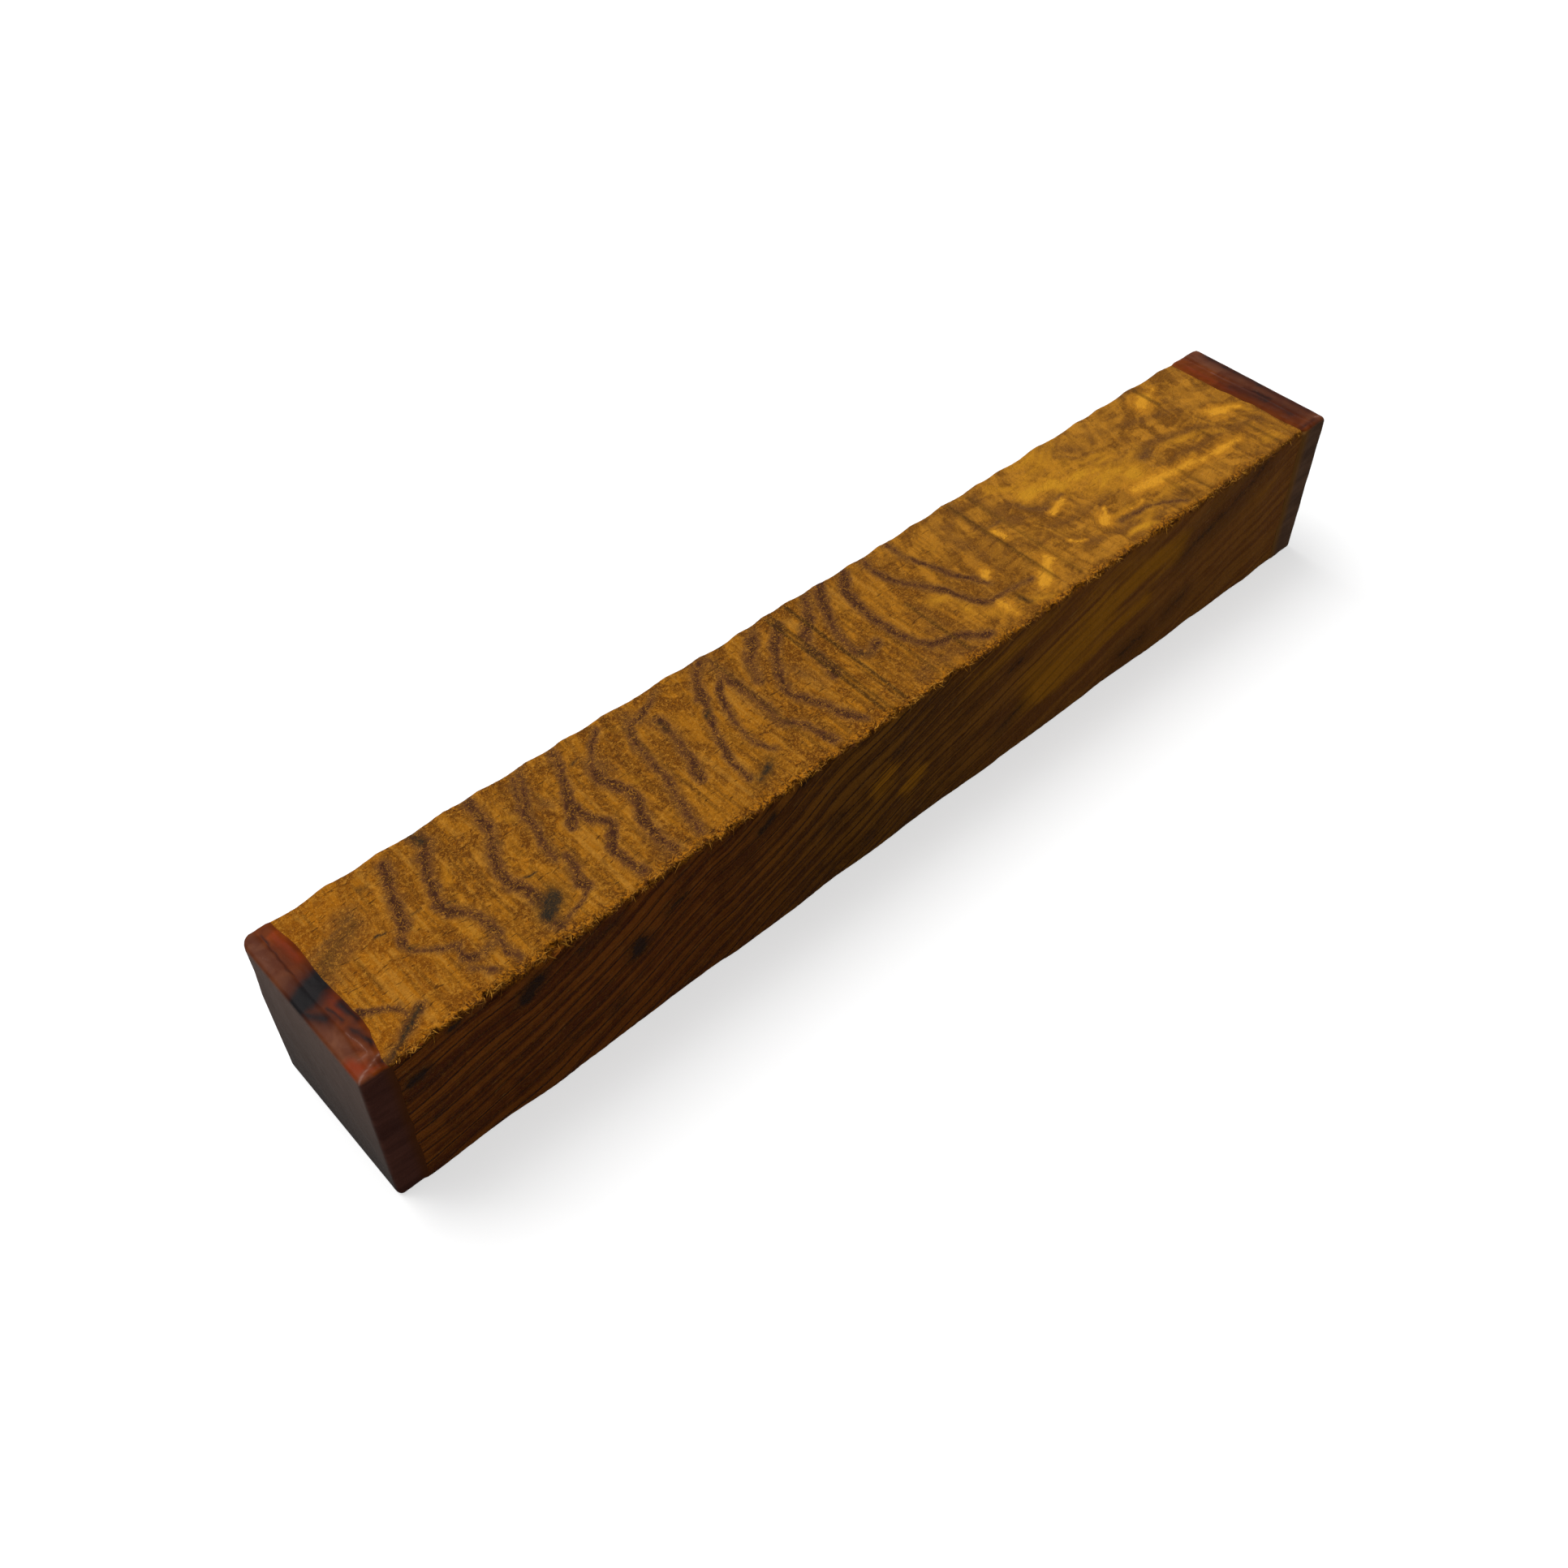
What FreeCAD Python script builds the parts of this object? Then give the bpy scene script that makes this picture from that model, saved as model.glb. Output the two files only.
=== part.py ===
import FreeCAD, Part
import os
import Sketcher

# Wood turning blank.
# A rough-sawn square stick of burl wood, cut to the length of a pen or small handle.
# Both ends have been dipped in clear wax, so that the end grain doesn't dry and crack.
# The saw left shallow hollows across every long face, with a low crest between each two.
# Axes: +X along the stick, +Z up. Origin at the middle of the underside it lies on.

os.makedirs("parts", exist_ok=True)
doc = FreeCAD.newDocument("wood_turning_blank")

# Sizes in millimetres
SIZES = [
    # the stick over everything, measured across the saw crests and the waxed ends
    ("blank_length", "132"),
    ("blank_width", "18.9"),
    ("blank_height", "19.3"),
    # how far up the stick each end was dipped
    ("left_dip_length", "3.4"),
    ("right_dip_length", "4.7"),
    # thickness of the wax, and how far its outside corners have run round
    ("wax_film", "0.25"),
    ("wax_corner_radius", "0.65"),
    # the close hollows of the top and back faces
    ("close_hollow_count", "20"),
    ("close_hollow_depth", "0.25"),
    # the wider, fainter hollows of the front face and the underside
    ("wide_hollow_count", "12"),
    ("wide_hollow_depth", "0.12"),
    # flat left on top of each crest
    ("crest_width", "0.4"),
]
sizes = doc.addObject("Spreadsheet::Sheet", "sizes")
for row, (alias, value) in enumerate(SIZES, start=1):
    sizes.set(f"A{row}", alias)
    sizes.set(f"B{row}", value)
    sizes.setAlias(f"B{row}", alias)
doc.recompute()

# The sawn stretch of the stick, clear of both dipped ends
SAWN_LENGTH = "(sizes.blank_length - sizes.left_dip_length - sizes.right_dip_length)"


def new_sketch(body, name, plane_role):
    # A sketch on one of the body's own origin planes.
    plane = next(part for part in body.Origin.OriginFeatures if part.Role == plane_role)
    sketch = body.newObject("Sketcher::SketchObject", name)
    sketch.AttachmentSupport = [(plane, "")]
    sketch.MapMode = "FlatFace"
    return sketch


def size_constraint(sketch, name, constraint, expression):
    # A driving dimension with a name of its own, tied to the table of sizes.
    sketch.addConstraint(constraint)
    sketch.renameConstraint(sketch.ConstraintCount - 1, name)
    sketch.setExpression(f"Constraints.{name}", expression)


def draw_section(sketch, width, height):
    # A rectangle centred on the stick's long axis, drawn near its size and then driven to it.
    reach = 9
    corners = [
        FreeCAD.Vector(across * reach, up * reach, 0)
        for across, up in ((-1, -1), (1, -1), (1, 1), (-1, 1))
    ]
    for start, end in zip(corners, corners[1:] + corners[:1]):
        sketch.addGeometry(Part.LineSegment(start, end), False)
    for line in range(4):
        sketch.addConstraint(Sketcher.Constraint("Coincident", line, 2, (line + 1) % 4, 1))
        sketch.addConstraint(Sketcher.Constraint(("Horizontal", "Vertical")[line % 2], line))
    sketch.addConstraint(Sketcher.Constraint("Symmetric", 0, 1, 2, 1, -1, 1))
    across = Sketcher.Constraint("DistanceX", 0, 1, 0, 2, 2 * reach)
    size_constraint(sketch, "width", across, width)
    upright = Sketcher.Constraint("DistanceY", 1, 1, 1, 2, 2 * reach)
    size_constraint(sketch, "height", upright, height)


def round_edges(body, feature, name, radius, wanted):
    # Rounds the edges of a feature whose bounding boxes pass the test.
    chosen = [
        f"Edge{number}"
        for number, edge in enumerate(feature.Shape.Edges, start=1)
        if wanted(edge.BoundBox)
    ]
    fillet = body.newObject("PartDesign::Fillet", name)
    fillet.Base = (feature, chosen)
    fillet.setExpression("Radius", radius)
    body.Tip = fillet
    doc.recompute()
    return fillet


# Sawn wood
# One piece: a core that runs into both wax seals, and the thicker sawn stretch between them.
wood = doc.addObject("PartDesign::Body", "wood_blank")
wood.Label = "wood_blank"
wood.setExpression("Placement.Base.z", "sizes.blank_height / 2")

core_section = new_sketch(wood, "core_section", "YZ_Plane")
draw_section(
    core_section,
    "sizes.blank_width - 2 * sizes.wax_film",
    "sizes.blank_height - 2 * sizes.wax_film",
)
core = wood.newObject("PartDesign::Pad", "core")
core.Profile = core_section
core.SideType = "Symmetric"
core.setExpression("Length", "sizes.blank_length - 2 * sizes.wax_film")
doc.recompute()
round_edges(
    wood, core, "core_edges", "sizes.wax_corner_radius - sizes.wax_film", lambda box: True
)

sawn_section = new_sketch(wood, "sawn_section", "YZ_Plane")
draw_section(sawn_section, "sizes.blank_width", "sizes.blank_height")
sawn_section.setExpression(
    "AttachmentOffset.Base.z", "sizes.left_dip_length - sizes.blank_length / 2"
)
sawn_stretch = wood.newObject("PartDesign::Pad", "sawn_stretch")
sawn_stretch.Profile = sawn_section
sawn_stretch.setExpression("Length", SAWN_LENGTH)
doc.recompute()


def cut_hollows(face, turn, thickness, kind):
    # Saw hollows across one long face: one round-bottomed cut, repeated along the stick.
    # turn swings the sketch about the long axis until its +Y points out of the face;
    # thickness is the stick's own, measured square to that face.
    pitch = f"{SAWN_LENGTH} / sizes.{kind}_hollow_count"
    chord = f"({pitch} - sizes.crest_width)"
    depth = f"sizes.{kind}_hollow_depth"
    sketch = new_sketch(wood, f"{face}_hollow_profile", "XZ_Plane")
    sketch.AttachmentOffset = FreeCAD.Placement(
        FreeCAD.Vector(), FreeCAD.Rotation(FreeCAD.Vector(1, 0, 0), turn)
    )

    # The arc is the hollow's floor; the lines above it close the profile outside the wood.
    # These points are only near their places: the constraints below drive them.
    left, right = -62, -57
    surface, above, below = 9.5, 10.5, 9.3
    foot_left = FreeCAD.Vector(left, surface, 0)
    foot_right = FreeCAD.Vector(right, surface, 0)
    head_left = FreeCAD.Vector(left, above, 0)
    head_right = FreeCAD.Vector(right, above, 0)
    floor = Part.ArcOfCircle(foot_left, FreeCAD.Vector((left + right) / 2, below, 0), foot_right)
    arc = sketch.addGeometry(floor, False)
    start, end = (1, 2) if floor.StartPoint.x < floor.EndPoint.x else (2, 1)
    right_side = sketch.addGeometry(Part.LineSegment(foot_right, head_right), False)
    top_side = sketch.addGeometry(Part.LineSegment(head_right, head_left), False)
    left_side = sketch.addGeometry(Part.LineSegment(head_left, foot_left), False)
    for constraint in (
        ("Coincident", arc, end, right_side, 1),
        ("Coincident", right_side, 2, top_side, 1),
        ("Coincident", top_side, 2, left_side, 1),
        ("Coincident", left_side, 2, arc, start),
        ("Vertical", right_side),
        ("Vertical", left_side),
        ("Horizontal", top_side),
        ("Horizontal", arc, start, arc, end),
    ):
        sketch.addConstraint(Sketcher.Constraint(*constraint))
    width = Sketcher.Constraint("DistanceX", arc, start, arc, end, right - left)
    size_constraint(sketch, "chord", width, chord)
    curve = Sketcher.Constraint("Radius", arc, floor.Radius)
    size_constraint(sketch, "floor_radius", curve, f"{chord} ^ 2 / (8 * {depth}) + {depth} / 2")
    place = Sketcher.Constraint("DistanceX", arc, start, -1, 1, -left)
    half_crest = "sizes.crest_width / 2"
    half_length = "sizes.blank_length / 2"
    size_constraint(
        sketch, "first_crest", place, f"{half_length} - sizes.left_dip_length - {half_crest}"
    )
    outer = Sketcher.Constraint("DistanceY", -1, 1, arc, start, surface)
    size_constraint(sketch, "face_height", outer, f"{thickness} / 2")
    lift = Sketcher.Constraint("DistanceY", right_side, 1, right_side, 2, above - surface)
    size_constraint(sketch, "head_room", lift, depth)

    before = wood.Shape.Volume
    hollow = wood.newObject("PartDesign::Pocket", f"{face}_hollow")
    hollow.Profile = sketch
    hollow.SideType = "Symmetric"
    hollow.Type = "ThroughAll"
    doc.recompute()
    if not wood.Shape.Volume < before:
        raise RuntimeError(f"{face} hollow cut nothing")

    row = wood.newObject("PartDesign::LinearPattern", f"{face}_hollows")
    row.Originals = [hollow]
    row.Direction = (sketch, ["H_Axis"])
    row.setExpression("Length", f"{SAWN_LENGTH} - {pitch}")
    row.setExpression("Occurrences", f"sizes.{kind}_hollow_count")
    wood.Tip = row
    doc.recompute()


cut_hollows("top", 0, "sizes.blank_height", "close")
cut_hollows("back", 270, "sizes.blank_width", "close")
cut_hollows("underside", 180, "sizes.blank_height", "wide")
cut_hollows("front", 90, "sizes.blank_width", "wide")


# Wax seals
# A film of wax shaped like a shallow square cup over each end of the core.
# Drawn with its closed end at the body's origin and its mouth towards +X.
def wax_seal(node, dip_length):
    body = doc.addObject("PartDesign::Body", node)
    body.Label = node
    section = new_sketch(body, f"{node}_section", "YZ_Plane")
    draw_section(section, "sizes.blank_width", "sizes.blank_height")
    block = body.newObject("PartDesign::Pad", f"{node}_block")
    block.Profile = section
    block.setExpression("Length", dip_length)
    doc.recompute()

    # The cavity leaves the same film on the end and on all four sides.
    core_shape = new_sketch(body, f"{node}_cavity_section", "YZ_Plane")
    draw_section(
        core_shape,
        "sizes.blank_width - 2 * sizes.wax_film",
        "sizes.blank_height - 2 * sizes.wax_film",
    )
    core_shape.setExpression("AttachmentOffset.Base.z", "sizes.wax_film")
    cavity = body.newObject("PartDesign::Pocket", f"{node}_cavity")
    cavity.Profile = core_shape
    cavity.Type = "ThroughAll"
    cavity.Reversed = True
    doc.recompute()
    if not cavity.Shape.Volume < block.Shape.Volume:
        raise RuntimeError(f"{node} cavity cut nothing")

    # Rounding the cavity as the core is rounded, then the outside one film further out,
    # keeps the wax even round the corners. The mouth stops square against the sawn stretch.
    mouth = cavity.Shape.BoundBox.XMax
    within_film = cavity.Shape.BoundBox
    within_film.enlarge(-sizes.wax_film / 2)
    inside = round_edges(
        body, cavity, f"{node}_inside", "sizes.wax_corner_radius - sizes.wax_film",
        lambda box: within_film.isInside(box.Center),
    )
    round_edges(
        body, inside, f"{node}_outside", "sizes.wax_corner_radius",
        lambda box: box.XMin < mouth / 2 and not within_film.isInside(box.Center),
    )
    body.setExpression("Placement.Base.z", "sizes.blank_height / 2")
    return body


left_seal = wax_seal("left_wax_seal", "sizes.left_dip_length")
left_seal.setExpression("Placement.Base.x", "-sizes.blank_length / 2")

right_seal = wax_seal("right_wax_seal", "sizes.right_dip_length")
right_seal.Placement.Rotation = FreeCAD.Rotation(FreeCAD.Vector(0, 0, 1), 180)
right_seal.setExpression("Placement.Base.x", "sizes.blank_length / 2")
doc.recompute()

# Every feature must be sound and every piece one valid solid before it is written
for item in doc.Objects:
    if "Invalid" in item.State or "Error" in item.State:
        raise RuntimeError(f"{item.Name}: {item.State}")
for body in (wood, left_seal, right_seal):
    if body.Shape.isNull() or not body.Shape.isValid() or len(body.Shape.Solids) != 1:
        raise RuntimeError(f"{body.Label} is not one valid solid")
    body.Shape.exportStep(f"parts/{body.Label}.step")
    box = body.Shape.BoundBox
    print(body.Label, box.XLength, box.YLength, box.ZLength, body.Shape.Volume)
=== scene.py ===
import bpy
import numpy as np
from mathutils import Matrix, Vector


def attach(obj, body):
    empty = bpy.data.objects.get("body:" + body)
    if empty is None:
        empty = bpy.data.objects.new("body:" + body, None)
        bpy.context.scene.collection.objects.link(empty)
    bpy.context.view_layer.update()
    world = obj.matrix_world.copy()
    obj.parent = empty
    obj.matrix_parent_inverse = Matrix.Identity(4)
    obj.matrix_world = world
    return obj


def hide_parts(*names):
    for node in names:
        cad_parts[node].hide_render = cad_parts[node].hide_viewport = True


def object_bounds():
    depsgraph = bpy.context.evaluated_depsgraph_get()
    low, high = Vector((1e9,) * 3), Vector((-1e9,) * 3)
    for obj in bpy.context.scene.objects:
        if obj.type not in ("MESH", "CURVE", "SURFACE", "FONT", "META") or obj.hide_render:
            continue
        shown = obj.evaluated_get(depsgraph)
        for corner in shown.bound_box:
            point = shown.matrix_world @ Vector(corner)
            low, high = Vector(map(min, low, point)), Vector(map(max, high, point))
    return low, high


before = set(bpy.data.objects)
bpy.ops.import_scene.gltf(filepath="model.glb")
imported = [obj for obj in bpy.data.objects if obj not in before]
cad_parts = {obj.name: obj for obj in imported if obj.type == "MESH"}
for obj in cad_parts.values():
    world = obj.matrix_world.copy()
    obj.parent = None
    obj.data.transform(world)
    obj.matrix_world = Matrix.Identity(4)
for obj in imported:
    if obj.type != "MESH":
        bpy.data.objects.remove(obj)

cad_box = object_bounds()

# Sawn stick
# A turning blank of burl wood, ripped square on a band saw and left straight off the blade. Its
# faces keep the shallow hollows of the blade's swing, it has bowed a little since, and the grain
# tore out along the front top arris. All in mm here: x from the left, y from the front, z up.
MM = 0.001
LENGTH, WIDTH, HEIGHT = [(high - low) / MM for low, high in zip(*cad_box)]
ARRIS_RADIUS = 0.2
TORN_ARRIS_RADIUS = 0.35
TOP_ROWS, BACK_ROWS, UNDER_ROWS, FRONT_ROWS = 84, 18, 14, 54
# crests between the hollows of the top and back faces
CRESTS = (
    -2, 3.4, 9.2, 14.6, 21.8, 25.6, 31, 35.5, 40.2, 48, 52.4, 57.6, 60.8, 64.2, 68.2, 73.2, 77.6,
    82.6, 87.6, 93, 96.6, 102.8, 110.2, 113.8, 119.4, 125.2, 130, 134,
)
HOLLOW_DEPTH = 0.33
# the measured edge line is part bow and part hollows, and the crests stand this proud
BOW_SHARE, HOLLOW_SHARE, CREST_RISE = 0.75, 0.55, 0.1
# how far the far top edge stands out from a straight line, at places along the stick
EDGE_BOW = (
    (0, -0.16), (4, -0.14), (9, 0.1), (22, 0.2), (31, 0.08), (40, 0.04), (48, -0.03), (55, -0.2),
    (58, -0.12), (62, 0.06), (68, -0.05), (73, -0.12), (80, -0.02), (88, 0.12), (96, 0.1),
    (103, 0.22), (110, 0.18), (119, 0.3), (125, 0.24), (130, 0.1), (132, 0.08),
)
# how far the front face stands in from flat, and how far its foot stands out
WAVE_SHARE = 1.2
FOOT_OUT = 0.22
FRONT_WAVE = (
    (0, 0), (4, -0.03), (11, 0.1), (17.5, -0.15), (21, -0.06), (28, 0.02), (33, 0.11), (37, 0.09),
    (39.5, -0.07), (46, -0.08), (53.5, 0.11), (57, 0.01), (60, 0), (65, 0.1), (68.5, 0.11),
    (72, 0.01), (76, -0.07), (79, 0.01), (84, -0.04), (92, -0.01), (95, 0.1), (101, 0),
    (103, -0.07), (107, -0.07), (111, 0.03), (114, -0.06), (119, -0.02), (122, -0.1), (126, 0.04),
    (132, 0),
)
# how badly the front top arris is torn, how far from it, and the one deep notch
TEAR_REACH = 0.7
NOTCH_PLACE, NOTCH_WIDTH = 106.1, 0.55
TEAR = (
    (0, 0.1), (3, 0.3), (5, 0.7), (9, 0.6), (13, 1), (22, 1), (26, 0.7), (40, 0.8), (46, 1), (60, 0.9),
    (66, 0.6), (100, 0.6), (106, 0.7), (112, 0.45), (132, 0.3),
)
# the left end is this share wider at its top edge, and narrower at its bottom edge
LEFT_LEAN = 0.0243
# how far from its end the wax reaches on the top face, at places y, and on the other faces
WAX_EDGE = {
    "left": (
        (0.8, 2.7), (2, 3), (3, 3.2), (4, 3.5), (5.2, 3.6), (7, 3.5), (11, 3.3), (15, 3.5), (18.5, 3.1),
    ),
    "right": ((0.8, 4.2), (3, 4.4), (7, 4.3), (10, 4.6), (13, 4.9), (16, 5), (18.9, 5)),
}
WAX_REACH = {"left": 3.05, "right": 4.3}
# the corners of the dipped ends are this round, and their far corners seen from above
END_ROUND = {"left": 0.5, "right": 0.45}
FAR_CORNER_ROUND = {"left": 1.5, "right": 1.0}
# under the film the wood is cut in by this, more than the film is thick, and to nothing at its edge
WAX_BED = 0.4
WAX_THINS_OVER = 0.5
# the wood's own end faces lie this far under the outside of the wax
WOOD_END = 0.35


def ease(share):
    # A share from 0 to 1 that starts and ends softly.
    return share * share * (3 - 2 * share)


def through(stops, x):
    # A smooth line through a few given points.
    places, values = np.array(stops, float).T
    step = np.clip(np.searchsorted(places, x) - 1, 0, len(places) - 2)
    share = ease(np.clip((x - places[step]) / (places[step + 1] - places[step]), 0, 1))
    return values[step] + (values[step + 1] - values[step]) * share


def lumps(u, v, seed):
    # Soft random relief from -1 to 1, about one lump to each unit of u and v.
    table = np.random.default_rng(seed).uniform(-1, 1, (1024, 128))
    column, row = np.floor(u).astype(int), np.floor(v).astype(int)
    across, up = ease(u - column), ease(v - row)
    near, far = [
        table[beside % 1024, row % 128] * (1 - up) + table[beside % 1024, (row + 1) % 128] * up
        for beside in (column, column + 1)
    ]
    return near * (1 - across) + far * across


def outline_of_section():
    # The section's outline, once round from the front of the top face, and which way is out there.
    corners = (
        (TOP_ROWS, WIDTH, HEIGHT, ARRIS_RADIUS, 90, 4),
        (BACK_ROWS, WIDTH, 0, ARRIS_RADIUS, 0, 4),
        (UNDER_ROWS, 0, 0, ARRIS_RADIUS, -90, 4),
        (FRONT_ROWS, 0, HEIGHT, TORN_ARRIS_RADIUS, -180, 10),
    )
    arcs = []
    for _, y, z, radius, turn, count in corners:
        angles = np.radians(turn - np.linspace(0, 90, count))
        out = np.stack([np.cos(angles), np.sin(angles)], axis=1)
        centre = np.array([radius if y == 0 else y - radius, radius if z == 0 else z - radius])
        arcs.append((centre + radius * out, out))
    points, ways = [], []
    for number, (arc, out) in enumerate(arcs):
        start = arcs[number - 1][0][-1]
        share = np.linspace(0, 1, corners[number][0] + 1)[1:-1, None]
        points += [start + (arc[0] - start) * share, arc]
        ways += [np.repeat(out[:1], len(share), axis=0), out]
    return np.concatenate(points), np.concatenate(ways)


outline, way_out = outline_of_section()
row_y, row_z = outline.T
out_y, out_z = way_out.T


def hollows(x):
    # How deep the saw's hollows are at distances x along the stick.
    crests = np.array(CRESTS, float)
    step = np.clip(np.searchsorted(crests, x) - 1, 0, len(crests) - 2)
    span = crests[step + 1] - crests[step]
    depth = HOLLOW_DEPTH * np.clip(span / 5.5, 0.4, 1.15)
    return -depth * np.sin(np.pi * np.clip((x - crests[step]) / span, 0, 1)) ** 1.3


def sawn_surface(x):
    # The sawn surface at distances x along the stick, one column of x to each row of the outline.
    x = x + 0 * row_y
    swing = BOW_SHARE * through(EDGE_BOW, x) + HOLLOW_SHARE * hollows(x + 0.03 * row_y) + CREST_RISE
    under = 0.02 * (1 + np.sin(x / 1.9))
    fuzz = 0.02 * lumps(x * 2.3, (row_z + row_y) * 1.7, 3) + 0.012 * lumps(x * 5.1, (row_y + row_z) * 4, 4)
    up, down = np.maximum(out_z, 0), np.maximum(-out_z, 0)
    rear, fore = np.maximum(out_y, 0), np.maximum(-out_y, 0)
    foot = -FOOT_OUT * (1 - row_z / HEIGHT)
    y = row_y + rear * (swing + fuzz) + fore * (WAVE_SHARE * through(FRONT_WAVE, x) + foot + fuzz)
    z = row_z + up * (swing + fuzz) + down * (under + np.abs(fuzz))
    # bites of grain torn out of the front top arris
    torn = np.exp(-((np.hypot(row_y, HEIGHT - row_z) / TEAR_REACH) ** 2)) * through(TEAR, x)
    bite = 0.2 + 0.5 * lumps(x * 1.1, row_y * 0.7, 5) + 0.6 * lumps(x * 2.4, (row_z + row_y) * 1.2, 6)
    notch = np.exp(-(((x - NOTCH_PLACE) / NOTCH_WIDTH) ** 2))
    bite = torn * np.clip(bite, -0.2, 0.9) + 0.5 * torn * notch
    y, z = y + 0.75 * bite, z - 0.35 * bite
    lean = LEFT_LEAN * (2 * row_z / HEIGHT - 1) * (1 - x / LENGTH)
    y = WIDTH / 2 + (y - WIDTH / 2) * (1 + lean)
    return np.stack([x, y, z], axis=-1)


def wax_edge(end):
    # How far the wax reaches from one end, for each row of the outline.
    edge = through(WAX_EDGE[end], row_y)
    elsewhere = WAX_REACH[end] + 0.18 * lumps((row_y + row_z) / 3.1, row_z / 4, 8)
    return elsewhere + (edge - elsewhere) * np.clip(out_z, 0, 1) ** 0.5


def round_in(end, from_end):
    # How far the rounding of a dipped end stands in, so far from the end.
    radius = END_ROUND[end]
    short = np.clip(1 - from_end / radius, 0, 1)
    return radius * (1 - np.sqrt(1 - short * short))


def draw_in(points, amount):
    # Draws sections in towards their middle, so that each face stands in by about the amount.
    middle = np.array([WIDTH / 2, HEIGHT / 2])
    section = middle + (points[..., 1:] - middle) * (1 - amount / (WIDTH / 2))[..., None]
    return np.concatenate([points[..., :1], section], axis=-1)


def round_far_corner(points, end, under):
    # Pulls what stands past an end's round far corner back to it, or as far under as given.
    x, y, z = np.moveaxis(points, -1, 0)
    from_end = x if end == "left" else LENGTH - x
    radius = FAR_CORNER_ROUND[end] * np.clip((z / HEIGHT - 0.5) * 3, 0, 1) + 0.01
    lean = LEFT_LEAN * (z / HEIGHT - 0.5) if end == "left" else 0
    across = y + radius - WIDTH * (1 + lean)
    past = np.hypot(np.maximum(radius - from_end, 0), np.maximum(across, 0))
    kept = np.clip((radius - under * np.minimum(radius, 1)) / np.maximum(past, 1e-9), 0, 1)
    kept = np.where((from_end < radius) & (across > 0), kept, 1)
    from_end, y = radius - (radius - from_end) * kept, y - across * (1 - kept)
    return np.stack([from_end if end == "left" else LENGTH - from_end, y, z], axis=-1)


def into_frame(points):
    # From the stick's own millimetres to the shared frame's metres.
    return points * MM + np.array(cad_box[0])


def ring_faces(rings, rows):
    # Quads between neighbouring rings of points, facing out.
    ring, row = np.meshgrid(np.arange(rings - 1), np.arange(rows), indexing="ij")
    here, beside = ring * rows + row, ring * rows + (row + 1) % rows
    return np.stack([here, here + rows, beside + rows, beside], axis=-1).reshape(-1, 4).tolist()


def new_piece(name, points, faces):
    # A smooth shaded object of points in the stick's own millimetres.
    mesh = bpy.data.meshes.new(name)
    mesh.from_pydata(into_frame(points).tolist(), [], faces)
    mesh.shade_smooth()
    piece = bpy.data.objects.new(name, mesh)
    bpy.context.collection.objects.link(piece)
    return piece


rows = len(outline)
# fine columns where the grain shows close to the camera, a little coarser beyond
columns = np.concatenate([
    np.linspace(WOOD_END, 2.3, 6, endpoint=False), np.linspace(2.3, 75, 340, endpoint=False),
    np.linspace(75, 128.4, 160, endpoint=False), np.linspace(128.4, LENGTH - WOOD_END, 6),
])[:, None]
wood_points = sawn_surface(columns)
for end, from_end in (("left", columns), ("right", LENGTH - columns)):
    under_wax = ease(np.clip((wax_edge(end) - from_end) / WAX_THINS_OVER, 0, 1))
    bed = WAX_BED * under_wax + round_in(end, from_end)
    wood_points = draw_in(wood_points, bed)
    wood_points = round_far_corner(wood_points, end, WAX_BED)
middles = np.array([[x, WIDTH / 2, HEIGHT / 2] for x in (WOOD_END, LENGTH - WOOD_END)])
last = len(columns) * rows
wood_faces = ring_faces(len(columns), rows)
wood_faces += [[last, row, (row + 1) % rows] for row in range(rows)]
wood_faces += [[last + 1, last - rows + (row + 1) % rows, last - rows + row] for row in range(rows)]
stick = new_piece("sawn_stick", np.concatenate([wood_points.reshape(-1, 3), middles]), wood_faces)
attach(stick, "root")
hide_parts("wood_blank")
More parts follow.
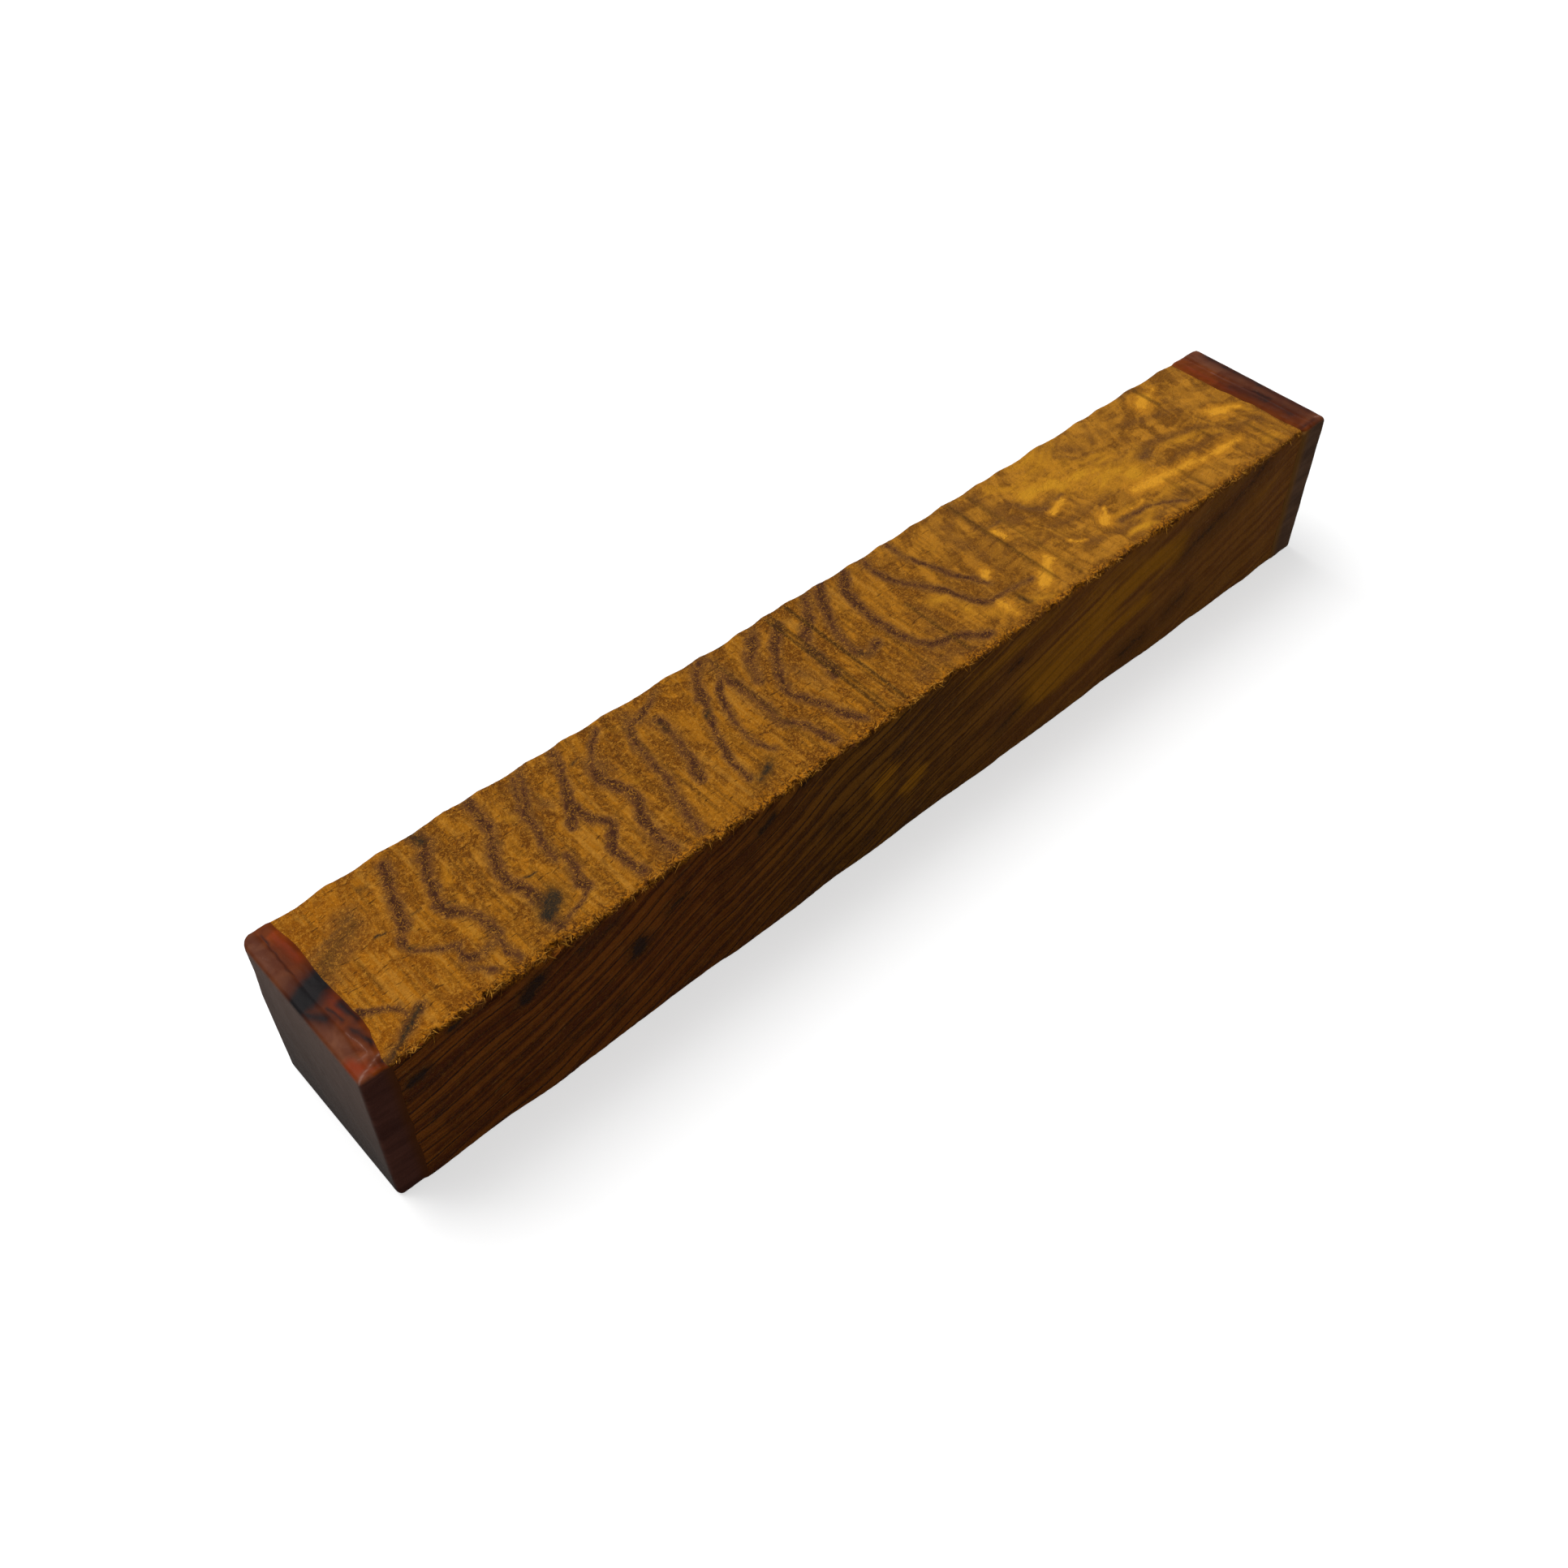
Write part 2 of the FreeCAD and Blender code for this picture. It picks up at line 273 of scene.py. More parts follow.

# Figure of the burl
# A burl's growth layers twist and fold, so its figure is drawn from given lines: purple brown veins across
# the top face, ink dark knots, and gold patches, partly painted sheen, where the fibres turn up. Each line
# is a few points x, y on the top face, after its half width in mm and how strongly it shows.
VEINS = (
    (0.5, 1, (13.6, 17.4), (13.1, 15.8), (12.4, 14.1), (11.7, 11.7), (11.1, 10.6)),
    (0.34, 0.9, (10.5, 10), (10.2, 8.6), (11.3, 7.4), (12.9, 6.2), (13.6, 5.8), (13.3, 4.5)),
    (0.4, 0.9, (13.3, 4.5), (14.5, 3.9), (16.4, 4.3)),
    (0.34, 0.7, (13.2, 3.4), (13.8, 2.4), (14.8, 1.4)),
    (0.6, 1, (17.6, 18.8), (17.8, 17), (16.9, 15.8)),
    (0.44, 1, (16.9, 15.8), (15.9, 13.4), (15.2, 11.4), (15.2, 9.3), (16.4, 8.1), (16.9, 6.9), (16.9, 4.8)),
    (0.36, 0.8, (16.9, 4.8), (16.5, 3), (16.8, 1.2)),
    (0.5, 1, (23.6, 18.6), (23.3, 15.8), (22.9, 13.8), (21.4, 11.4), (20.9, 8.6), (21.6, 6.2), (21.6, 5)),
    (0.44, 1, (21.3, 3.2), (21, 2.5), (21.6, 1.4)),
    (0.24, 0.7, (22.4, 1.8), (24, 2.3), (25.5, 3.1)),
    (0.42, 0.9, (29.3, 18.4), (27.9, 15.5), (26.7, 13.8), (26.5, 12), (25.7, 9.7), (25.6, 8)),
    (0.3, 0.8, (28.3, 18), (27.2, 15.8), (26.4, 14.6)),
    (0.4, 0.9, (26.6, 7.4), (26.2, 5.8), (25.4, 4.4), (25.9, 3.4)),
    (0.4, 1, (33.1, 18.3), (32.1, 15.2), (30.9, 13.1), (30, 11.4), (29, 9.8)),
    (0.4, 1, (30.4, 11.2), (30.7, 9.6), (31.8, 7.9), (30.7, 6.2), (30, 5.2)),
    (0.6, 0.6, (30, 5.2), (30.2, 3), (30.5, 1.2)),
    (0.36, 0.9, (38, 17.8), (36.2, 16.2), (34.9, 14.5)),
    (0.46, 1, (34.9, 14.5), (34.4, 12.4), (35, 10.7), (35.5, 9), (34.5, 6.6), (34.1, 4.8), (34.1, 1.6)),
    (0.46, 0.9, (40.7, 16.2), (39.7, 14.1), (39.3, 11), (39.1, 8.6), (38.3, 6.2), (37.8, 4.1), (37.2, 1.6)),
    (0.36, 0.8, (40.7, 16.1), (43.2, 16.8), (45.6, 18)),
    (0.5, 0.9, (43.4, 14.9), (43.1, 12.4), (42.5, 9.6), (41.4, 6.6)),
    (0.5, 1, (51.2, 18.2), (49.3, 16.2), (48.2, 14)),
    (0.34, 1, (48.2, 14), (47.4, 12.2), (46.2, 10), (45.2, 6.6), (44.8, 3.6)),
    (0.36, 0.8, (51.7, 15.6), (49.7, 12.8), (48.3, 8.8), (48.3, 6.2), (49.2, 4.6)),
    (0.7, 0.6, (52.2, 18.5), (52, 13.7), (52.2, 9.6), (51.8, 6.8)),
    (0.44, 0.9, (51.8, 6.8), (53.3, 5), (54.1, 1.6)),
    (0.6, 0.8, (58.4, 18), (56.6, 16.4), (55.2, 14.6), (54.2, 12.6)),
    (0.42, 1, (60.9, 17), (57.9, 14.1), (55.9, 11), (55.3, 9), (56.5, 6.2), (57.2, 3.6), (58.3, 1.6)),
    (0.5, 0.9, (66, 18.4), (63.4, 15.2), (61.1, 13), (60.5, 9.7), (60.3, 8)),
    (0.44, 1, (68.1, 18.6), (66.1, 15.6), (64.6, 12.6), (63.9, 9.6), (64.5, 8), (65.5, 8), (66.4, 8.5)),
    (0.44, 1, (71.4, 18.2), (69.5, 15.9), (68.9, 12.6), (68.9, 7.8), (70, 5.2), (71, 4.2),
        (73.1, 3.6), (76, 1.6)),
    (0.42, 0.9, (74.2, 18.6), (73.9, 16.3), (74.6, 13.7), (76.1, 11.1), (77.6, 8.5), (78.1, 6.3),
        (79.4, 5)),
    (0.34, 0.7, (79.4, 5), (82.7, 4.6), (85.4, 4.2)),
    (0.4, 0.8, (77.8, 18.2), (77.9, 15.6), (79, 13), (79.8, 10.4), (80.9, 8.1), (81.4, 6.8)),
    (0.34, 0.6, (99.6, 4), (102.7, 3.6), (105.7, 2.8), (107.8, 1.2)),
    (0.5, 0.5, (109.8, 9.5), (111.6, 10)), (0.35, 0.5, (93.4, 12.8), (94.6, 11.2), (95.6, 10.9)),
    (0.3, 0.5, (97, 11.3), (98.4, 11.5)), (0.3, 0.4, (87.8, 12.9), (89.8, 13)),
    (0.2, 0.3, (3.6, 12.9), (5.6, 13.9), (8.8, 14.6)),
    (0.4, 1, (2.8, 0.1), (4.4, 1.1), (6, 2), (7.9, 2.9)),
    (0.3, 0.7, (3.6, 5.9), (4.6, 5.3), (6.4, 4.3), (6.6, 2.6)),
)
STAINS = (
    (1.1, 1, (21.5, 3.4), (22.1, 4), (22.9, 4.6)), (0.7, 0.7, (17.6, 18.4), (17.8, 17.4)),
    (0.6, 0.5, (10.8, 16.6), (11.2, 16.5)), (0.5, 0.2, (10.4, 18.4), (12.6, 17.9)),
    (0.4, 0.2, (4.9, 17.8), (5.2, 17.6)), (0.6, 0.45, (22.5, 12.9), (22.9, 12.6)),
    (0.5, 0.55, (43, 14.4), (43.3, 13)), (0.36, 0.7, (46.8, 12), (47.7, 12.5)),
    (1, 0.75, (45.6, 2.6), (46.4, 3), (47.2, 3.4)), (1.6, 0.4, (44.8, 2.4), (48, 3.8)),
    (0.6, 0.55, (64, 8.2), (65, 7.9)),
    (0.5, 0.6, (82.1, 3.1), (82.4, 2)), (0.4, 0.8, (3, 0.3), (4.4, 1.1), (6, 2), (7.8, 2.9)),
    (0.16, 0.9, (12.5, 11.3), (13.6, 11.3)), (0.16, 0.9, (8.7, 11.1), (9.8, 11.1)),
    (0.16, 0.9, (10.3, 8.4), (11.3, 8.4)), (0.16, 0.8, (22.1, 7.9), (23.2, 7.7)),
    (0.16, 0.8, (15.5, 10.2), (16.3, 10)), (0.16, 0.8, (33.4, 15.8), (34.3, 16.1)),
    (0.25, 0.4, (4, 14.1), (4.2, 14)), (0.25, 0.4, (4.2, 9.2), (4.4, 9)),
    (1.3, 0.4, (3.6, 11.4), (5.6, 12.8), (8.2, 13.9)),
)
# gold patches: partly the wood's gold and partly painted sheen
GOLD_AND_SHEEN = (
    (1.1, 0.5, (17.9, 14.8), (17.1, 12), (16.9, 9.6)), (0.7, 0.4, (12.3, 9.6), (12.9, 7.6)),
    (1, 0.45, (4.4, 8), (5.4, 5.8)), (0.6, 0.4, (10.9, 5.2), (10.8, 3)), (0.7, 0.4, (8.6, 6), (8.8, 3.4)),
    (0.9, 0.45, (23.6, 10), (22.8, 7)), (0.6, 0.4, (15.4, 6.4), (15.7, 5.2)),
    (0.8, 0.4, (24, 2.2), (26, 2)),
    (0.8, 0.3, (26.9, 17.4), (25.4, 14.6)), (0.7, 0.3, (36.6, 12), (37, 9)),
    (0.9, 0.35, (48.3, 3.4), (49.2, 1.8)),
    (0.8, 0.2, (44.6, 14), (45, 11)), (0.9, 0.3, (66.2, 12), (67, 14)), (0.8, 0.2, (59, 15), (58, 12.4)),
    (0.8, 0.6, (78, 13.6), (78.4, 10)), (1.1, 0.9, (75.4, 9), (76.4, 7.8), (77, 5.2)),
    (1.5, 0.8, (78.6, 3.8), (80.6, 2)), (1.3, 0.7, (83.4, 2.2), (86.4, 2)),
    (0.8, 0.7, (98.8, 5.4), (101, 5), (104, 5)), (0.8, 0.6, (101, 1.6), (106, 3.9), (109, 3.6)),
    (1.6, 0.7, (93.2, 17.6), (94.6, 15.6), (95.4, 13.8)), (2.6, 1, (98, 16.2), (101.2, 15.8)),
    (2.8, 0.9, (99.6, 13), (103.2, 11.8), (107, 9.6)), (1.6, 0.7, (103, 8), (106.8, 7.4)),
    (0.4, 0.5, (94.6, 2.2), (98, 1.9), (101.3, 1.9)),
    (1.1, 0.8, (104, 6.2), (109, 5.7), (113.7, 5.1)), (0.9, 0.7, (113, 4.6), (117, 4.3), (121, 4.2)),
    (1.4, 0.5, (117, 16.4), (121.5, 17.2)), (1.2, 0.6, (122.4, 10.1), (126, 8.2)),
    (1, 0.5, (122.8, 2.2), (124.8, 1.8)), (0.6, 0.5, (107.4, 17.6), (110, 15.4), (112.4, 13)),
    (1.2, 0.4, (124.4, 14.4), (125.5, 12.4)), (0.8, 0.5, (112, 9), (116.5, 8.4), (121, 7)),
    (1.4, 0.2, (84, 17.6), (80.6, 14.4)), (1.2, 0.2, (90, 2.6), (92, 6.6)),
)
# bright flecks, partly painted sheen, where curly fibres stand on end
SHEEN_FLECKS = (
    (0.75, 1, (81.6, 7.4), (82.5, 8.1)), (0.65, 1, (87.9, 12), (88.2, 10.7)),
    (1, 1, (85.9, 2.9), (87.4, 4), (88.9, 5.2)), (0.6, 1, (95.2, 10), (96.4, 10.4), (97.5, 10.8)),
    (0.75, 1, (98, 5.1), (99, 5.6)), (0.35, 0.9, (99, 5.7), (100, 6.7)),
    (0.3, 0.7, (100, 4.8), (102, 4.4), (104, 4.7)),
    (0.35, 0.8, (92.8, 5.6), (93.4, 4.9), (94.2, 4.5)), (0.9, 0.7, (80, 4.4), (80.3, 1.9)),
    (1.1, 0.8, (104.6, 6.4), (109, 5.8), (113.7, 5.1)), (1, 0.7, (114, 4.7), (117, 4.5), (121, 4.2)),
    (1.3, 1, (117.8, 16.2), (119, 16.6)), (0.7, 0.6, (119, 16.6), (121.5, 17.2)),
    (0.95, 1, (123, 9.4), (124, 8.8)), (0.6, 0.8, (122.4, 10.1), (126, 8.2)),
)
# cuts that the blade left straight across the top: x, from y, to y, half width, strength
SAW_MARKS = (
    (6.4, 6, 11, 0.16, 0.6), (40, 2, 17, 0.14, 0.4), (52.4, 1, 18, 0.16, 0.5), (60.4, 0, 19, 0.18, 1),
    (61, 0, 19, 0.14, 0.8), (63.1, 0, 19, 0.18, 1), (62.6, 0, 8, 0.14, 0.7), (68, 1, 9, 0.2, 0.5),
    (72.8, 1, 11, 0.18, 0.8), (82.3, 1.5, 4.5, 0.2, 0.7), (87.3, 2, 19, 0.22, 0.8), (90.1, 1, 19, 0.2, 0.5),
    (108.8, 0, 6, 0.2, 0.45), (111.3, 0, 6, 0.2, 0.45), (118.8, 6, 9, 0.2, 0.5), (119.2, 14, 19, 0.22, 0.7),
    (124, 0, 6, 0.22, 0.5),
)
# how steeply the growth layers climb on the front face, and how far they lean on the top face
LAYER_CLIMB = ((0, 0.12), (8, 0.2), (18, 0.3), (28, 0.42), (50, 0.45), (65, 0.36), (100, 0.28), (132, 0.3))
LAYER_LEAN = ((0, 1.5), (4.5, 1.1), (7.5, 0.7), (10, 0), (13, 0.7), (16, 1.6), (19, 2.6))
FRONT_DARK = (
    (0.7, 1, (4.3, 15.2), (5.2, 15.3)), (0.8, 1, (15.8, 15.8), (16.6, 16.5), (17.4, 17.1)),
    (0.9, 1, (28, 11.2), (28.2, 12)), (0.5, 0.8, (8.6, 18.4), (9.5, 18.7)), (0.5, 0.45, (5, 8), (6.2, 8.6)),
    (1.2, 0.4, (22, 17), (26, 17.4)), (0.6, 0.5, (31.6, 13.4), (34, 14.4)),
    (0.8, 0.55, (43, 16), (44.6, 17)),
    (1.2, 0.3, (24.6, 5), (25.8, 5.6)), (0.5, 0.7, (48.5, 18.3), (49.6, 18.7)),
    (1, 0.4, (52.6, 9), (54, 9.6)),
    (1.1, 0.4, (57.4, 2.8), (58.6, 3.3)), (0.8, 0.4, (61, 13.2), (63, 13.9)),
    (0.7, 0.5, (78, 13.7), (80, 14.3)),
    (1.6, 0.3, (77, 5), (80.6, 6.6)), (2.6, 0.34, (98.4, 2.6), (102, 3.4)),
    (2.2, 0.3, (106, 4.6), (109, 5.6)),
    (2.8, 0.34, (107.6, 12.8), (113, 14.6), (117, 16.3), (121, 18.6)),
)
FRONT_PALE = (
    (1.3, 0.75, (59, 9.6), (60.4, 10.8)), (1.1, 1, (63.6, 6.6), (64.8, 7.4)),
    (2.6, 0.95, (83.4, 8.4), (87, 9.4), (91, 10.8), (94, 12.2)),
    (1.5, 1, (96.4, 13.4), (100, 14.6), (105.4, 14.6)), (1, 0.8, (84, 5.4), (92, 7), (101, 9.6)),
    (1, 0.1, (76, 2.4), (88, 5.4), (98, 7)), (3, 0.2, (72, 16.6), (82, 16.8), (97, 17.4)),
    (1, 0.1, (118, 12.6), (124, 14.6)),
)
# soft brown shades of the marbled right half, and beside the wax knot
SHADES = (
    (1.4, 1, (3.3, 10.8), (5.5, 12.2), (8.4, 13.8)), (0.9, 0.7, (27.6, 17), (29, 13.5)),
    (1.2, 0.6, (34.5, 16), (36, 13)), (1, 0.6, (41, 17.5), (43, 14.5)), (1.4, 0.5, (33, 4), (33.4, 1)),
    (1.4, 0.6, (57.6, 12), (58.4, 8)), (1.6, 0.6, (66.5, 2), (70, 2.4), (74, 1)),
    (1.4, 0.5, (73, 9), (72.4, 6)),
    (1.8, 0.6, (84.6, 18.5), (84, 14), (84.4, 10)), (1, 0.8, (87.8, 18.8), (87.2, 15), (87, 11)),
    (1.4, 0.7, (90.8, 18.8), (90.6, 15), (91, 12)), (1.4, 0.4, (84, 8), (88, 9), (91, 8)),
    (0.8, 0.9, (92.6, 13.8), (93.6, 12.8), (94.6, 11.6)), (0.9, 0.5, (97.4, 12.2), (98.4, 9), (96, 7.8)),
    (1, 0.4, (92, 8), (93.5, 5), (97, 3), (101, 2.6)), (0.7, 0.5, (93, 8.6), (96, 7.6), (100, 8.2)),
    (1.4, 0.9, (102.8, 18.2), (104.6, 16.8), (106, 15.4)), (0.9, 0.35, (100, 1), (108, 2.4), (112, 2)),
    (1.1, 0.6, (107, 18.4), (109, 16.2), (113, 14.8), (119, 13), (125, 11)),
    (0.9, 0.65, (109.4, 11), (113, 10.6), (117, 9.6), (121, 7.6)),
    (0.6, 0.5, (109.5, 7.6), (114, 6.9), (120, 6.2)),
    (1, 0.4, (112, 17), (114.5, 16.2)), (1, 0.5, (119.5, 15), (122, 14), (125.5, 13.2)),
    (0.8, 0.5, (121.5, 6.4), (126, 5.4)),
    (0.6, 0.9, (102.6, 16.6), (104.3, 14.4), (105.4, 12.6), (106.4, 11.5), (109.4, 10.2)),
    (0.8, 0.9, (110, 9.4), (111.2, 9.6)), (0.5, 0.8, (99.6, 6.8), (101, 7.9), (103, 7.4)),
    (0.5, 0.8, (94, 10.8), (95.4, 11.5), (98, 11.7)), (0.7, 0.7, (108, 15.3), (109, 16.6), (110, 18.2)),
    (0.8, 0.8, (117, 18.7), (119, 18.4)), (0.8, 1, (101.7, 17.4), (102.6, 17)),
    (0.5, 0.8, (3.6, 11.9), (5.4, 13), (7.4, 13.8)),
)
FAINTEST = -2.0


def smooth_line(points):
    # More points along a curve through a few.
    points = np.array([points[0], *points, points[-1]], float)
    line = []
    for before, start, end, after in zip(points, points[1:], points[2:], points[3:]):
        for share in np.linspace(0, 1, 5)[:-1]:
            line.append(0.5 * (
                2 * start + (end - before) * share + (2 * before - 5 * start + 4 * end - after) * share**2
                + (3 * start - before - 3 * end + after) * share**3
            ))
    return np.array(line + [points[-1]])


def draw(strokes, across, along):
    # How near each place is to a stroke: 1 on a strong one's middle line, 0 at its edge, then less.
    shown = np.full(across.shape, FAINTEST)
    for half_width, strength, *points in strokes:
        line = smooth_line(points)
        reach = (1 - FAINTEST) * half_width
        close = (across > line[:, 0].min() - reach) & (across < line[:, 0].max() + reach)
        close &= (along > line[:, 1].min() - reach) & (along < line[:, 1].max() + reach)
        place = np.stack([across[close], along[close]], axis=-1)
        gap = np.full(len(place), 9.0)
        for start, end in zip(line, line[1:]):
            run = end - start
            share = np.clip((place - start) @ run / max(run @ run, 1e-9), 0, 1)
            gap = np.minimum(gap, np.linalg.norm(place - start - share[:, None] * run, axis=-1))
        shown[close] = np.maximum(shown[close], 1 - gap / half_width - 1.5 * (1 - strength))
    return shown


def paint(piece, name, values):
    # Stores what is drawn on the points, for the material to read.
    kind, field = ("FLOAT_VECTOR", "vector") if values.ndim > 2 else ("FLOAT", "value")
    flat = values.reshape(-1, 3) if values.ndim > 2 else values.reshape(-1)
    filler = np.repeat(flat[-1:], len(piece.data.vertices) - len(flat), axis=0)
    layer = piece.data.attributes.new(name, kind, "POINT")
    layer.data.foreach_set(field, np.concatenate([flat, filler]).ravel())


x = columns + 0 * row_y
y, z = row_y + 0 * x, row_z + 0 * x
on_top = np.clip((out_z - 0.45) * 5, 0, 1) + 0 * x
on_front = np.clip((-out_y - 0.6) * 5, 0, 1) + 0 * x
# ragged edges to every stroke
wander_x = 0.16 * lumps(x * 1.1, y * 1.1 + z, 21) + 0.12 * lumps(x * 2.9, (y + z) * 2.9, 22)
wander_y = 0.16 * lumps(x * 1.1, y * 1.1 + z, 23) + 0.12 * lumps(x * 2.9, (y + z) * 2.9, 24)
tx, ty, tz = x + wander_x, y + wander_y, z + wander_y
climb = np.cumsum(through(LAYER_CLIMB, columns[:, 0]) * np.gradient(columns[:, 0]))[:, None]
layer_top = x - through(LAYER_LEAN, y)
layer_front = z - climb + 0.5 * lumps(x / 9, z / 5, 31)
layer_back = z + 0.8 * climb + 0.9 * lumps(x / 11, z / 6, 32)
layer_under = x * 0.8 + 1.6 * np.cos(y / 4.5) + 1.6 * lumps(x / 12, y / 7, 33)
layer = np.where(out_y < -0.7, layer_front, np.where(out_y > 0.7, layer_back, layer_under))
layer = np.where(out_z > 0.7, layer_top, layer)
along = np.where(np.abs(out_z) > 0.7, y, x)
paint(stick, "fibre", np.stack([layer, along, 0 * layer], axis=-1))
for name, top_strokes, front_strokes in (
    ("vein", VEINS, ()), ("stain", STAINS, FRONT_DARK), ("gold_and_sheen", GOLD_AND_SHEEN, FRONT_PALE), ("shade", SHADES, ()),
    ("sheen_fleck", SHEEN_FLECKS, ()),
):
    on_side = np.where(on_front > 0, draw(front_strokes, tx, tz), FAINTEST)
    paint(stick, name, np.where(on_top > 0, draw(top_strokes, tx, ty), on_side))
saw_mark = np.zeros(x.shape)
for place, low, high, half_width, strength in SAW_MARKS:
    length_share = np.clip((y - low) * 1.5, 0, 1) * np.clip((high - y) * 1.5, 0, 1)
    width_share = np.clip(1.8 - np.abs(x - place) / half_width, 0, 1)
    saw_mark = np.maximum(saw_mark, strength * length_share * width_share)
paint(stick, "saw_mark", saw_mark * on_top)
paint(stick, "side", 1 - on_top)
# the torn band that the saw left along the front top arris, wider on the top than down the front
torn_reach = 0.55 + 0.5 * through(TEAR, x)
torn_reach += 0.35 * lumps(x * 0.9, 0 * x, 41) + 0.3 * lumps(x * 2.6, 0 * x, 42)
torn_band = np.clip(1.4 - (y + 2.2 * (HEIGHT - z)) / torn_reach, 0, 1)
paint(stick, "torn", torn_band * np.clip(1.6 * through(TEAR, x), 0, 1))

# Look of the sawn burl
# Bare, unsanded wood: matt and fuzzy where the blade cut across the fibres, cleaner and more
# golden to the right. The raw sides are a deeper red brown, partly their own redder wood and partly painted
# shade.
# Sizes in mm. Single fibres, fuzz, hairs and pores are finer in life and wouldn't show in the
# render, so they are drawn as coarse as they need to show. The rest is judged from the photograph.
FIBRE_WIDTH_MM, FIBRE_LENGTH_MM = 0.16, 0.9
FUZZ_MM = 0.2
HAIR_MM = 0.3
CURL_MM = 0.42
STREAK_MM = 0.75
LAYER_MM = 1.3
RING_MM = 1.8
MARBLE_MM = 3.5
SAW_TOOTH_MM = 0.3
MOTTLE_MM = 2.4
# pores are drawn about 1.1 mm long along the stick and 0.22 mm wide
PORES_PER_MM = (0.9, 4.5, 4.5)


def from_hex(colour):
    # An sRGB colour as the linear one that a shader takes.
    parts = [int(colour[i:i + 2], 16) / 255 for i in (1, 3, 5)]
    return (*(part / 12.92 if part <= 0.04045 else ((part + 0.055) / 1.055) ** 2.4 for part in parts), 1)


def add_node(tree, kind, inputs, output=0, **settings):
    # Adds a node, sets it, feeds its inputs by name or in their order, and gives one output.
    node = tree.nodes.new("ShaderNode" + kind)
    for name, value in settings.items():
        setattr(node, name, value)
    sockets = [socket for socket in node.inputs if socket.enabled]
    if isinstance(inputs, dict):
        pairs = [(node.inputs[name], value) for name, value in inputs.items()]
    else:
        pairs = zip(sockets, inputs)
    for socket, value in pairs:
        if isinstance(value, bpy.types.NodeSocket):
            tree.links.new(value, socket)
        else:
            socket.default_value = value
    outputs = [socket for socket in node.outputs if socket.enabled]
    return node.outputs[output] if isinstance(output, str) else (outputs + [None])[output]


def lay_over(tree, under, field, low, high, strength, colour, *masks):
    # Lays a colour over another, more and more as a field goes from low to high, inside its masks.
    share = add_node(tree, "MapRange", [field, low, high, 0, strength], interpolation_type="SMOOTHSTEP")
    for mask in masks:
        share = add_node(tree, "Math", [share, mask], operation="MULTIPLY")
    return add_node(tree, "Mix", [share, under, from_hex(colour)], data_type="RGBA")


def new_material(name):
    # A material with an empty node tree.
    material = bpy.data.materials.new(name)
    material.use_nodes = True
    material.node_tree.nodes.clear()
    return material, material.node_tree


burl, tree = new_material("sawn_burl_wood")
place = add_node(tree, "TexCoord", {}, output="Object")
mm = add_node(tree, "VectorMath", {"Vector": place, "Scale": 1 / MM}, operation="SCALE")
vein, stain, gold_and_sheen, sheen_fleck, shade, saw_mark, side, torn = [
    add_node(tree, "Attribute", {}, output="Fac", attribute_name=name)
    for name in ("vein", "stain", "gold_and_sheen", "sheen_fleck", "shade", "saw_mark", "side", "torn")
]
# fibres, streaks, layers and rings follow the growth layers
layers = add_node(tree, "Attribute", {}, output="Vector", attribute_name="fibre")
along_fibres, along_streaks, along_layers, along_rings = [
    add_node(tree, "VectorMath", [layers, stretch], operation="MULTIPLY")
    for stretch in (
        (1 / FIBRE_WIDTH_MM, 1 / FIBRE_LENGTH_MM, 1), (1 / STREAK_MM, 0.05, 1),
        (1 / LAYER_MM, 0.03, 1), (1, 0.07, 1),
    )
]
along_pores, across_teeth, along_marble = [
    add_node(tree, "VectorMath", [mm, stretch], operation="MULTIPLY")
    for stretch in (PORES_PER_MM, (1 / SAW_TOOTH_MM, 0.12, 0.12), (0.7, 1.3, 1.3))
]
# a lump of noise is about half a unit wide at a scale of 1
fibres, streaks, fuzz, curls, pores, mottle, teeth, hair_field, layer_field, marble = [
    add_node(tree, "TexNoise", {
        "Vector": space, "Scale": scale, "Detail": detail, "Roughness": roughness, "Distortion": swirl})
    for space, scale, detail, roughness, swirl in (
        (along_fibres, 0.5, 3, 0.6, 0.6), (along_streaks, 0.6, 3, 0.6, 0.15),
        (mm, 0.5 / FUZZ_MM, 4, 0.75, 0), (mm, 0.5 / CURL_MM, 3, 0.65, 2.6),
        (along_pores, 1, 1, 0.5, 0.5), (mm, 0.5 / MOTTLE_MM, 3, 0.6, 1.6),
        (across_teeth, 0.6, 2, 0.5, 0), (mm, 0.5 / HAIR_MM, 1.5, 0.6, 1.5),
        (along_layers, 1, 0.6, 0.4, 0.05), (along_marble, 0.5 / MARBLE_MM, 2, 0.5, 2),
    )
]
# growth rings on the sides, some way apart: a wave is 0.314 units long at a scale of 1
rings = add_node(tree, "TexWave", {
    "Vector": along_rings, "Scale": 0.314 / RING_MM, "Distortion": 5, "Detail": 2, "Detail Scale": 0.35,
    "Detail Roughness": 0.5})
# 0 near the left end, 1 past the middle
from_middle = add_node(tree, "SeparateXYZ", [mm], output="X")
far = add_node(tree, "MapRange", [from_middle, -8, 30], interpolation_type="SMOOTHSTEP")
# how far a place is from a field's middle value, which draws that field's thin lines
gaps = [
    add_node(tree, "Math", [field, middle], operation="SUBTRACT")
    for field, middle in ((hair_field, 0.5), (layer_field, 0.5), (marble, 0.52))
]
from_hair, from_layer, from_marble = [add_node(tree, "Math", [gap], operation="ABSOLUTE") for gap in gaps]
